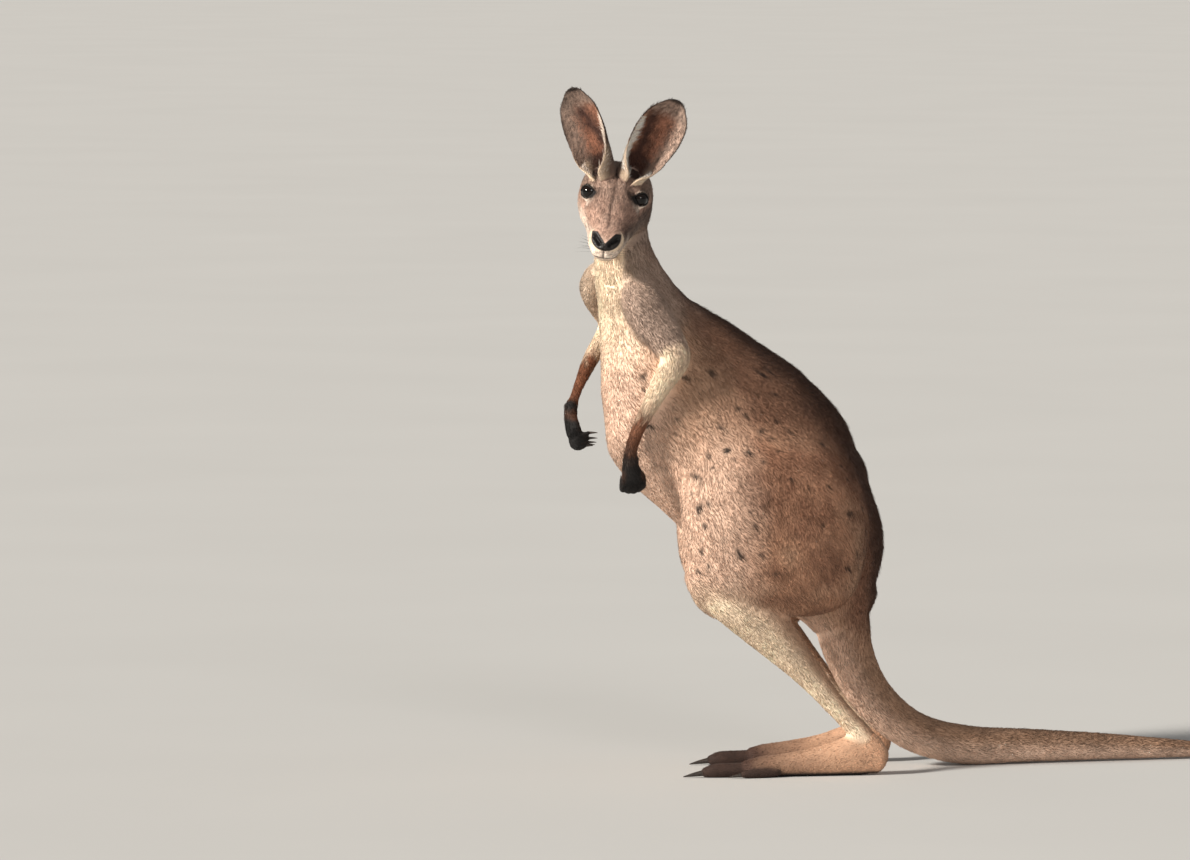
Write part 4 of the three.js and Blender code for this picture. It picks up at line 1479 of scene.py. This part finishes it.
def growth(points, normals, spot):
    """For each point: the coat's numbers, blended between limbs, and the unit direction in which its hair
    lies."""
    pull = np.exp(-PULL * (spot["ratios"] - spot["ratios"].min(1, keepdims=True)))
    pull /= pull.sum(1, keepdims=True)
    numbers = np.array([REGIONS[region_of(name)] for name in spot["names"]])
    coat = pull @ numbers
    flow = np.zeros_like(points)
    for i, name in enumerate(spot["names"]):
        way = LIMBS[name]["way"]
        flow += pull[:, i : i + 1] * (spot["places"][name]["tangent"] if way is None else unit(way))
    y, z = spot["q"].T[1:]
    on_head, on_trunk = on_limb(spot, "head"), on_limb(spot, "trunk")
    rise = np.sin(spot["places"]["trunk"]["around"])
    coat[:, LENGTH] += CHEEK_LONGER * (smoothstep(-20, 30, y) * smoothstep(10, -40, z) * on_head)
    coat[:, LENGTH] *= 1 - MUZZLE_SHORTER * (smoothstep(-60, -90, y) * on_head)
    chest = on_trunk * smoothstep(0.0, -0.7, rise)
    coat[:, COARSE_TURN:] *= (1 - CHEST_STRAIGHTER * chest)[:, None]
    spine = smoothstep(0.6, 0.95, rise) * on_trunk
    coat[:, LENGTH] += SPINE_LONGER * spine
    coat[:, LIFT] += SPINE_LIFT * spine
    coat[:, FINE_TURN] += SPINE_TURN * spine
    on_ear = np.zeros(len(points), bool)
    for side, ear in spot["ears"].items():
        upwards = HEAD_POSE @ ear_pose(side)[0][:, 2]
        mine = ear["mine"]
        spread = np.cross(normals[mine], upwards) * np.sign(ear["off"][mine])[:, None]
        flow[mine] = upwards - 0.5 * ear["sweep"][mine][:, None] * unit(spread)
        coat[mine] = REGIONS["ear"]
        on_ear |= mine
    flow = flow - (flow * normals).sum(1, keepdims=True) * normals
    return coat, unit(flow), on_ear


BARE_LID, EYE_REACH, BARE_LIP, BARE_SOLE = 1.3, 26, 1.2, 1.5  # mm


def blocked(points, spot):
    """True where no hair grows: the nose pad, the open eye and its rim, the line of the mouth and the
    soles."""
    q = spot["q"]
    on_head = on_limb(spot, "head") > 0.5
    bare = (pad_share(q) > 0.2) & on_head
    for sign in SIGN.values():
        gap, far, _, _ = lid_gap(q, sign)
        bare |= (gap < BARE_LID) & (far < EYE_REACH) & on_head
    bare |= (np.abs(mouth_gap(q)) < BARE_LIP) & (q[:, 1] < MOUTH_BACK - 4) & on_head
    return bare | (points[:, 2] < BARE_SOLE)


# %% Scatter the roots
mesh = skin.data
mesh.calc_loop_triangles()
triangles = np.empty(len(mesh.loop_triangles) * 3, np.int32)
mesh.loop_triangles.foreach_get("vertices", triangles)
triangles = triangles.reshape(-1, 3)
flat = np.empty(len(mesh.vertices) * 3, np.float32)
mesh.vertex_normals.foreach_get("vector", flat)
skin_normals = unit(flat.reshape(-1, 3).astype(float))
skin_coat, skin_flow, skin_on_ear = growth(skin_points, skin_normals, skin_spot)
skin_bare = blocked(skin_points, skin_spot)
first, second, third = (skin_points[triangles[:, k]] for k in range(3))
areas = np.linalg.norm(np.cross(second - first, third - first), axis=1) / 2
print("skin area", round(areas.sum() / 1e6, 3), "square metres")


def scattered(draw, density):
    """Roots as triangle numbers and weights: floor(area·density + a draw from 0 to 1) to each triangle,
    and weights (1 − √r₁, √r₁·(1 − r₂), √r₁·r₂) within it."""
    count = np.floor(areas * density + draw.random(len(areas))).astype(int)
    count[skin_bare[triangles].any(1)] = 0
    owner = np.repeat(np.arange(len(areas)), count)
    r1, r2 = np.sqrt(draw.random(len(owner))), draw.random(len(owner))
    return owner, np.stack([1 - r1, r1 * (1 - r2), r1 * r2], 1)


def at_roots(values, owner, weights):
    """A skin value at the roots, blended from the three corners."""
    corners = values[triangles[owner]]
    return np.einsum("rc,rc...->r...", weights, corners)


# %% Tufts as meshes
def turned_about(vectors, axes, angle):
    """Each vector turned about its axis, to which it is square: v·cos + (axis × v)·sin."""
    return vectors * np.cos(angle)[:, None] + np.cross(axes, vectors) * np.sin(angle)[:, None]


PATCH = 0.003  # a tuft's patch on the unwrap
BEND, ROOT_DEPTH, TAPER, RIDGE = 0.45, 0.5, 1.5, 0.7
ROOT_SHADE, TIP_LIGHTER = 0.74, 0.36


def tuft_points(root, normal, flow, length, half, lift, segments):
    """Rings of three points along p = root + length·t·(cos(lift)·flow + sin(lift)·normal·(1 − bend·t)), the
    half-width shrinking as 1 − t^1.5, then the tip. The base sits a little under the skin."""
    side = unit(np.cross(flow, normal))
    rings = []
    for k in range(segments + 1):
        t = k / segments
        rise = np.sin(lift) * (1 - BEND * t) * length * t - ROOT_DEPTH * (k == 0)
        middle = root + (length * t * np.cos(lift))[:, None] * flow + rise[:, None] * normal
        if k == segments:
            rings.append(middle[:, None])
            continue
        wide = (half * (1 - t**TAPER))[:, None]
        left, right, top = middle - wide * side, middle + wide * side, middle + RIDGE * wide * normal
        rings.append(np.stack([left, right, top], 1))
    return np.concatenate(rings, 1)


def tuft_faces(count, segments):
    """The triangles of all the tufts: three sides in each segment, the tip's three faces, and the base."""
    size = 3 * segments + 1
    faces = [[0, 1, 2]]
    for k in range(segments - 1):
        for a, b in ((0, 1), (1, 2), (2, 0)):
            low_a, low_b, high_a, high_b = 3 * k + a, 3 * k + b, 3 * k + 3 + a, 3 * k + 3 + b
            faces += [[low_a, high_a, low_b], [low_b, high_a, high_b]]
    base, tip = 3 * (segments - 1), size - 1
    faces += [[base, tip, base + 1], [base + 1, tip, base + 2], [base + 2, tip, base]]
    return (np.arange(count)[:, None, None] * size + np.array(faces)[None]).reshape(-1, 3)


def tuft_mesh(name, batches):
    """One mesh from batches of tufts, each with its points, segments, root colours and place on the
    unwrap."""
    points, faces, colours, places, base = [], [], [], [], 0
    for grid, segments, colour, place in batches:
        count, size = grid.shape[:2]
        t = np.repeat(np.arange(segments + 1) / segments, [3] * segments + [1])
        shade = ROOT_SHADE + TIP_LIGHTER * t
        colours.append((colour[:, None] * shade[None, :, None]).reshape(-1, 3))
        across = np.array([-1.0, 1.0, 0.0] * segments + [0.0]) * PATCH / 2
        spot = np.stack([place[:, :1] + across[None], place[:, 1:] + PATCH * t[None]], -1)
        places.append(spot.reshape(-1, 2))
        points.append(grid.reshape(-1, 3))
        faces.append(tuft_faces(count, segments) + base)
        base += count * size
    points, faces = np.concatenate(points), np.concatenate(faces)
    colours, places = np.concatenate(colours), np.concatenate(places)
    made = bpy.data.meshes.new(name)
    made.vertices.add(len(points))
    made.vertices.foreach_set("co", ((points - ORIGIN) * MM).astype(np.float32).ravel())
    made.loops.add(faces.size)
    made.loops.foreach_set("vertex_index", faces.astype(np.int32).ravel())
    made.polygons.add(len(faces))
    made.polygons.foreach_set("loop_start", np.arange(0, faces.size, 3, dtype=np.int32))
    made.update(calc_edges=True)
    layer = made.uv_layers.new(name="OFBake")
    layer.data.foreach_set("uv", places[faces.ravel()].astype(np.float32).ravel())
    piece = bpy.data.objects.new(name, made)
    bpy.context.scene.collection.objects.link(piece)
    set_colour(piece, colours)
    return piece


STRIP_EDGE, STRIP_WIDE, STRIP_FOOT, STRIP_HIGH = 0.02, 0.96, 0.01, 0.97


def unwrap_place(limb_names, nearest, points):
    """Each root on an unwrap of its limb's own shape: the angle around as u and the share along as v. A
    piece of several limbs gives each its own strip."""
    place = np.zeros((len(points), 2))
    names = sorted(set(nearest))
    for k, number in enumerate(names):
        mine = nearest == number
        limb = limb_place(limb_names[number], points[mine])
        u = (limb["around"] / (2 * np.pi) + 0.5) * STRIP_WIDE + STRIP_EDGE
        place[mine, 0] = (k + u) / len(names)
        place[mine, 1] = STRIP_FOOT + STRIP_HIGH * limb["along"]
    return place


# %% Grow both layers of the coat
LAYERS = [  # segments, spacing, length, half-width and lift against the region's own, and the seed
    (1, 1.0, 1.0, 1.0, 1.0, 31),
    (2, 2.5, 1.15, 0.9, 1.2, 32),
]


def grown(segments, spacing, long, wide, lift, seed):
    """The roots of one layer with everything that a tuft needs, as a dictionary of arrays."""
    draw = np.random.default_rng(seed)
    density = 1 / (skin_coat[:, 0][triangles].mean(1) * spacing) ** 2
    owner, weights = scattered(draw, density)
    root = at_roots(skin_points, owner, weights)
    normal = unit(at_roots(skin_normals, owner, weights))
    flow = at_roots(skin_flow, owner, weights)
    flow = unit(flow - (flow * normal).sum(1, keepdims=True) * normal)
    coat = at_roots(skin_coat, owner, weights)
    count = len(owner)
    broad, close = noise(root, 60, 8) - 0.5, noise(root, 11, 9) - 0.5
    turn = np.radians(2 * coat[:, 4] * broad + 2 * coat[:, 5] * close + draw.normal(0, 6, count))
    flow = turned_about(flow, normal, turn)
    clump = 0.75 + 0.5 * noise(root, 14, 10)
    length = coat[:, 1] * long * clump * draw.uniform(0.75, 1.2, count)
    tilt = np.radians(coat[:, 3] * lift) * draw.uniform(0.6, 1.4, count) * (0.6 + 0.8 * noise(root, 18, 11))
    half = coat[:, 2] * wide * draw.uniform(0.8, 1.2, count)
    on_face = at_roots(on_limb(skin_spot, "head"), owner, weights)
    tone = 1 + draw.uniform(-0.2, 0.2, count) * (1 + 0.6 * on_face)
    tone *= np.where(draw.random(count) < 0.1 + 0.06 * on_face, 0.6, 1.0)
    colour = at_roots(skin_colour, owner, weights) * tone[:, None]
    return {
        "owner": owner,
        "root": root,
        "grid": tuft_points(root, normal, flow, length, half, tilt, segments),
        "colour": colour,
        "nearest": skin_spot["nearest"][triangles[owner, 0]],
        "ear": skin_on_ear[triangles[owner]].all(1),
        "segments": segments,
    }


def batch(layer, chosen, places):
    """Some tufts of a layer, as tuft_mesh takes them."""
    return layer["grid"][chosen], layer["segments"], layer["colour"][chosen], places


def finished_coat(name, batches, slot):
    """Makes and keeps one piece of coat, and returns its number of triangles."""
    piece = keep_piece(tuft_mesh(name, batches), "coat", slot)
    print(name, len(piece.data.polygons))
    return len(piece.data.polygons)


layers = [grown(*layer) for layer in LAYERS]
total = 0
piece_groups = {}
JOINED = {"palm": "arm", "finger": "arm", "toe": "foot"}  # regions that share a neighbour's piece
for number, name in enumerate(skin_spot["names"]):
    region, _, rest = name.partition("_")
    group = JOINED.get(region, region)
    piece_groups.setdefault(f"{group}_{rest.split('_')[0]}".strip("_"), []).append(number)
MOST_TUFT_TRIANGLES = 190_000
for group, numbers in piece_groups.items():
    picks = [np.nonzero(np.isin(layer["nearest"], numbers) & ~layer["ear"])[0] for layer in layers]
    triangles_here = sum(len(pick) * (6 * layer["segments"] - 2) for pick, layer in zip(picks, layers))
    shares = int(np.ceil(triangles_here / MOST_TUFT_TRIANGLES))
    keys = [
        unwrap_place(skin_spot["names"], layer["nearest"][pick], layer["root"][pick])
        for pick, layer in zip(picks, layers)
    ]
    cuts = np.quantile(np.concatenate([key[:, 1] for key in keys]), np.linspace(0, 1, shares + 1))
    cuts[-1] += 1
    for part in range(shares):
        batches = []
        for pick, key, layer in zip(picks, keys, layers):
            here = (key[:, 1] >= cuts[part]) & (key[:, 1] < cuts[part + 1])
            batches.append(batch(layer, pick[here], key[here]))
        name = f"coat_{group}" if shares == 1 else f"coat_{group}_{part + 1}"
        total += finished_coat(name, batches, "face" if group == "head" else "coat")
print("coat so far", total, "triangles")


# %% The ears' coats, with a pale fringe along each inner edge
FRINGE_HAIRS, FRINGE_HALF, FRINGE_LENGTH = 2400, 0.52, 16  # mm
FOOT_SHARE, FOOT_LENGTH, FOOT_LENGTH_OUTSIDE = 0.4, 17, 11
FRINGE_PALE = tint(255, 236, 220)
# the left fringe is painted brighter, as painted light through its hairs, and the right one slightly darker,
# as painted shade
FRINGE_LIGHT_AND_SHADE = {"left": 1.6, "right": 0.9}
FRINGE_SEED = {"left": 41, "right": 42}
EAR_STRIP = 0.46  # the width on the unwrap of an ear's outside, and of its inside


def ear_unwrap_height(height):
    """The height up an ear as v on the unwrap."""
    return np.clip((height - EAR_FOOT) / (EAR_TOP - EAR_FOOT), 0, 1) * STRIP_HIGH


def fringe(side):
    """Long pale hairs from the medial edge across the opening, and tufts at the foot of both edges."""
    draw = np.random.default_rng(FRINGE_SEED[side])
    count = FRINGE_HAIRS
    foot = draw.random(count) < FOOT_SHARE
    lateral = foot & (draw.random(count) < 0.5)
    low = draw.uniform(-10, np.where(lateral, 10, 30), count)
    height = np.where(foot, low, 2 + 86 * draw.random(count) ** 1.9)
    sweep = -SIGN[side] * np.where(lateral, -1, 1) * draw.uniform(0.72, 0.99, count)
    share = np.interp(height, [row[0] for row in EAR], np.linspace(0, 1, len(EAR)))
    root = ear_points(side, sweep, share, -1.0)
    higher = ear_points(side, sweep, share + 0.02, -1.0)
    inwards = ear_points(side, sweep * 0.9, share, -1.0)
    up, across = unit(higher - root), unit(inwards - root)
    normal = unit(np.cross(up, across))
    middle = ear_points(side, sweep * 0, share, -1.0)
    normal *= np.sign(((middle - root) * normal).sum(1, keepdims=True))
    cross_share = np.where(foot, 0.35, 1.0)[:, None]
    flow = unit(up * 0.8 + across * cross_share + draw.normal(0, 0.24, (count, 3)))
    longest = np.where(foot, np.where(lateral, FOOT_LENGTH_OUTSIDE, FOOT_LENGTH), FRINGE_LENGTH)
    length = longest * draw.uniform(0.5, 1.15, count) * smoothstep(100, 50, height)
    tilt = np.radians(draw.uniform(2, 30, count))
    grid = tuft_points(root, normal, flow, length, np.full(count, FRINGE_HALF), tilt, 2)
    # painted light on the left fringe, painted shade on the right
    colour = FRINGE_PALE * draw.uniform(0.5, 1.08, count)[:, None] * FRINGE_LIGHT_AND_SHADE[side]
    place = np.stack([np.clip(sweep * 0.2 + 0.25, 0.02, 0.48), ear_unwrap_height(height)], 1)
    return grid, 2, colour, place


for side in SIGN:
    batches = []
    for layer in layers:
        chosen = np.nonzero(layer["ear"])[0]
        place = ear_place(layer["root"][chosen], side)
        own = place["mine"]
        inner = place["off"][own] < 0
        u = np.clip((place["sweep"][own] + EAR_SWEEP) / (2 * EAR_SWEEP), 0, 1)
        u = u * EAR_STRIP + STRIP_EDGE + 0.5 * inner
        batches.append(batch(layer, chosen[own], np.stack([u, ear_unwrap_height(place["height"][own])], 1)))
    batches.append(fringe(side))
    total += finished_coat(f"coat_ear_{side}", batches, "ear")
print("whole coat", total, "triangles")


# %% Lashes and whiskers
LASHES, WHISKERS, WHISKERS_IN_ROW = 60, 12, 4
LASH_FROM, LASH_TO, LASH_LENGTH, LASH_HALF = 20, 165, 6.5, 0.28  # degrees around the lid, then mm
WHISKER_FIRST, WHISKER_STEP = (-98, -42), 8.0  # the y and z of the first root, and the step backwards
WHISKER_LENGTH, WHISKER_HALF = (22, 38), 0.3
HAIR_LIFT = 0.12  # radians


def head_hairs(side, root, way, length, half, place):
    """Single dark hairs rooted at head-frame points and pointing along head-frame directions."""
    count = len(root)
    flow = unit(way @ HEAD_POSE.T)
    normal = unit(np.cross(flow, np.cross(np.broadcast_to([0, 0, 1.0], flow.shape), flow)))
    lift = np.full(count, HAIR_LIFT)
    grid = tuft_points(from_head(root), normal, flow, length, np.full(count, half), lift, 3)
    return grid, 3, np.broadcast_to(NEAR_BLACK, (count, 3)), np.broadcast_to(place, (count, 2))


hair_draw = np.random.default_rng(51)
batches = []
for side in SIGN.values():
    turn = np.radians(np.linspace(LASH_FROM, LASH_TO, LASHES)) + hair_draw.normal(0, 0.02, LASHES)
    edge = np.radians(lid_edge(turn) + 3)
    root = eye_grid(side, edge, turn, LID_RADIUS)
    beyond = eye_grid(side, edge + 0.2, turn, LID_RADIUS)
    outwards = unit(root - [side * EYE_SPREAD, 0, 0])
    way = outwards * 0.9 + unit(beyond - root) * 0.5
    length = LASH_LENGTH * hair_draw.uniform(0.7, 1.1, LASHES) * (0.6 + 0.4 * np.sin(turn))
    batches.append(head_hairs(side, root, way, length, LASH_HALF, [0.3 + 0.2 * side, 0.3]))
    row, rank = np.divmod(np.arange(WHISKERS), WHISKERS_IN_ROW)
    y, z = WHISKER_FIRST[0] + WHISKER_STEP * rank + 2 * row, WHISKER_FIRST[1] - 5.0 * row
    across = np.interp(y, MUZZLE_LINE, MUZZLE_WIDTHS)
    root = np.stack([side * (across - 3), y, z], 1)
    way = np.stack([side * (1 + 0 * y), 0.35 + 0.12 * rank, -0.25 - 0.1 * row], 1)
    way = way + hair_draw.normal(0, 0.08, (WHISKERS, 3))
    length = hair_draw.uniform(*WHISKER_LENGTH, WHISKERS)
    batches.append(head_hairs(side, root, way, length, WHISKER_HALF, [0.3 + 0.2 * side, 0.7]))
finished_coat("coat_whiskers", batches, "face")


# %% [markdown]
# ## Finishes
#
# Skin, coat and eyes read the colour stored on their points. The skin adds the fine grain of short hair
# as bump, and the bare nose pad is moist and pebbled, so its roughness and its bump follow the stored
# "bare" number. The coat's tufts add a streak of noise finer than a tuft and a faint sheen. Eyes are wet:
# dark, very smooth, with a thin clear coat. Claws are worn horn with a fine grain.

# %% A small way to write materials
def material(name):
    """A new material, its node tree and its Principled shader."""
    made = bpy.data.materials.new(name)
    made.use_nodes = True
    return made, made.node_tree, made.node_tree.nodes["Principled BSDF"]


def node(tree, kind, links=None, **values):
    """A node of that kind. values are its settings or its inputs' numbers; links are the sockets that
    feed it."""
    made = tree.nodes.new("ShaderNode" + kind)
    for key, value in values.items():
        if hasattr(made, key):
            setattr(made, key, value)
        else:
            made.inputs[key.replace("_", " ")].default_value = value
    for key, socket in (links or {}).items():
        tree.links.new(socket, made.inputs[key])
    return made


def feed(tree, socket, shader, name):
    tree.links.new(socket, shader.inputs[name])


def fixed(shader, **numbers):
    """Sets the shader's own inputs to constants."""
    for key, number in numbers.items():
        shader.inputs[key.replace("_", " ")].default_value = number


def grain_of(tree, scale, detail):
    """Noise fixed to the object: its place socket and its value socket. scale is in cells per metre."""
    place = node(tree, "TexCoord").outputs["Object"]
    return place, node(tree, "TexNoise", {"Vector": place}, Scale=scale, Detail=detail).outputs["Fac"]


def ranged(tree, socket, low, high):
    """A value from 0 to 1 moved to the range from low to high."""
    return node(tree, "MapRange", {"Value": socket}, To_Min=low, To_Max=high).outputs["Result"]


def stored_colour(tree, shader, tone):
    """Base Color = the colour stored on the points · tone."""
    colour = node(tree, "Attribute", attribute_name="coat_colour").outputs["Color"]
    shaded = node(tree, "VectorMath", {0: colour, "Scale": tone}, operation="SCALE")
    feed(tree, shaded.outputs["Vector"], shader, "Base Color")


def bumped(tree, shader, height, strength, distance):
    bump = node(tree, "Bump", {"Height": height}, Strength=strength, Distance=distance)
    feed(tree, bump.outputs["Normal"], shader, "Normal")


def ramp_colour(tree, shader, socket, stops):
    """Base Color = the socket's value read off a ramp whose stops are (position, colour)."""
    ramp = node(tree, "ValToRGB", {"Fac": socket})
    for element, (position, colour) in zip(ramp.color_ramp.elements, stops):
        element.position = position
        element.color = (*colour, 1)
    feed(tree, ramp.outputs["Color"], shader, "Base Color")


# %% The finishes of skin and coat
def skin_finish():
    made, tree, shader = material("haired_skin")
    place, grain = grain_of(tree, 900.0, 3.0)
    stored_colour(tree, shader, ranged(tree, grain, 0.72, 1.2))
    bare = node(tree, "Attribute", attribute_name="bare").outputs["Fac"]
    feed(tree, ranged(tree, bare, 0.78, 0.38), shader, "Roughness")
    pebble = node(tree, "TexVoronoi", {"Vector": place}, Scale=620.0).outputs["Distance"]
    depth = node(tree, "Mix", {0: bare, 2: grain, 3: pebble}).outputs[0]
    bumped(tree, shader, depth, 0.55, 0.0008)
    fixed(shader, Sheen_Weight=0.03, Specular_IOR_Level=0.35)
    return made


def coat_finish():
    made, tree, shader = material("coat_hair")
    _, streak = grain_of(tree, 1400.0, 2.0)
    stored_colour(tree, shader, ranged(tree, streak, 0.78, 1.2))
    bumped(tree, shader, streak, 0.35, 0.0006)
    fixed(shader, Roughness=0.75, Specular_IOR_Level=0.22, Sheen_Weight=0.04, Sheen_Roughness=0.45)
    return made


# %% The finishes of eyes and claws
def eye_finish():
    made, tree, shader = material("wet_eye")
    _, fibre = grain_of(tree, 1500.0, 2.0)
    stored_colour(tree, shader, ranged(tree, fibre, 0.7, 1.3))
    fixed(shader, Roughness=0.06, Specular_IOR_Level=0.22, Coat_Weight=0.22, Coat_Roughness=0.02)
    return made


def claw_finish():
    made, tree, shader = material("horn")
    _, grain = grain_of(tree, 700.0, 3.0)
    ramp_colour(tree, shader, grain, [(0.3, tint(20, 17, 16)), (0.75, tint(70, 58, 50))])
    feed(tree, ranged(tree, grain, 0.3, 0.5), shader, "Roughness")
    bumped(tree, shader, grain, 0.25, 0.0004)
    return made


# %% Give every piece its finish
FINISHES = {"skin": skin_finish(), "coat": coat_finish(), "eye": eye_finish(), "claw": claw_finish()}
for piece in [skin, *PIECES]:
    piece.data.materials.clear()
    piece.data.materials.append(FINISHES[piece.get("finish", "skin")])
    piece.data.polygons.foreach_set("use_smooth", np.ones(len(piece.data.polygons), bool))
print("finished", 1 + len(PIECES), "pieces")


# %% [markdown]
# ## Pieces, floor, light and camera
#
# Every piece rides on the one body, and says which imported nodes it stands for. The floor is plain and
# pale, and runs far enough that its edge stays out of view. A warm, fairly soft key light comes from the
# camera's left and a little above, a weak one from beside the camera lights the eyes, and a pale world
# fills the shadows.

# %% Name what each piece stands for
LIMB_NODES = ("ear", "upper_arm", "forearm", "hand", "thigh", "shank", "foot")
FLESH = ["head", "neck", "trunk", "tail_root", "tail_middle", "tail_tip"]
for side in SIGN:
    FLESH += [f"{part}_{side}" for part in LIMB_NODES]
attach(skin, "root")
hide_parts(*FLESH)
for piece in PIECES:
    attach(piece, "root")
    if "stands_for" in piece:
        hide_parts(*piece["stands_for"].split())
print(len(FLESH), "nodes replaced by the skin")


# %% The floor
FLOOR_HALF = 120.0  # metres
FLOOR_STEPS = 24
line = np.linspace(-FLOOR_HALF, FLOOR_HALF, FLOOR_STEPS + 1)
across, along = np.meshgrid(line, line, indexing="ij")
floor_points = np.stack([across.ravel(), along.ravel(), 0 * across.ravel()], 1)
i, j = np.meshgrid(np.arange(FLOOR_STEPS), np.arange(FLOOR_STEPS), indexing="ij")
corner = (i * (FLOOR_STEPS + 1) + j).ravel()
quads = np.stack([corner, corner + FLOOR_STEPS + 1, corner + FLOOR_STEPS + 2, corner + 1], 1)
floor = new_mesh("floor", floor_points / MM + ORIGIN * [1, 1, 0], quads.tolist())
made, tree, shader = material("pale_floor")
_, cloud = grain_of(tree, 1.2, 2.0)
ramp_colour(tree, shader, cloud, [(0, tint(192, 191, 189)), (1, tint(198, 197, 195))])
fixed(shader, Roughness=0.85)
floor.data.materials.append(made)


# %% The camera
CAMERA_TURN, CAMERA_RISE = np.radians([80, 4])
CAMERA_FAR = 14000  # mm
SENSOR = 36  # mm
FRAME_WIDE, FRAME_HIGH = 1190, 860
MM_PER_DOT = 1.6
ORIGIN_DOT = 770  # the body's own origin, counted across and down the frame
VIEW_END = 400  # metres
look_right = np.array([np.cos(CAMERA_TURN), np.sin(CAMERA_TURN), 0])
level = np.cos(CAMERA_RISE)
look_back = np.array([look_right[1] * level, -look_right[0] * level, np.sin(CAMERA_RISE)])
look_up = np.cross(look_back, look_right)
aim = look_right * (FRAME_WIDE / 2 - ORIGIN_DOT) * MM_PER_DOT
aim = aim + look_up * (ORIGIN_DOT - FRAME_HIGH / 2) * MM_PER_DOT


def placed(thing, place, right, up, back):
    """Puts a camera or a light at a place in body millimetres, looking against its back direction."""
    matrix = np.eye(4)
    matrix[:3, 0], matrix[:3, 1], matrix[:3, 2] = right, up, back
    matrix[:3, 3] = (place - ORIGIN) * MM
    thing.matrix_world = matrix.T.tolist()
    bpy.context.scene.collection.objects.link(thing)


camera_data = bpy.data.cameras.new("camera")
camera_data.sensor_width = SENSOR
camera_data.lens = SENSOR * CAMERA_FAR / (FRAME_WIDE * MM_PER_DOT)
camera_data.clip_end = VIEW_END
camera = bpy.data.objects.new("camera", camera_data)
placed(camera, aim + look_back * CAMERA_FAR, look_right, look_up, look_back)
bpy.context.scene.camera = camera
print("lens", round(camera_data.lens, 1))


# %% The lights
LAMP_FAR = 4000  # mm
WORLD_COLOUR, WORLD_STRENGTH = (1.0, 0.99, 0.97, 1), 0.25


def lamp(name, sideways, forward, upward, softness, power, colour):
    """A distant light from that direction of the camera's own axes, as wide as softness in degrees."""
    data = bpy.data.lights.new(name, "SUN")
    data.angle = np.radians(softness)
    data.energy = power
    data.color = colour
    level_back = unit(look_back * [1, 1, 0])
    back = unit(look_right * sideways + level_back * forward + np.array([0, 0, upward]))
    right = unit(np.cross([0, 0, 1], back))
    placed(bpy.data.objects.new(name, data), aim + back * LAMP_FAR, right, np.cross(back, right), back)


lamp("key", -0.97, 0.56, 0.6, 9, 5.6, (1.0, 0.95, 0.87))
lamp("fill", 0.3, 1.0, 0.4, 15, 0.45, (1.0, 0.98, 0.97))
world = bpy.data.worlds.new("studio")
world.use_nodes = True
fixed(world.node_tree.nodes["Background"], Color=WORLD_COLOUR, Strength=WORLD_STRENGTH)
bpy.context.scene.world = world
bpy.context.scene.view_settings.view_transform = "Standard"
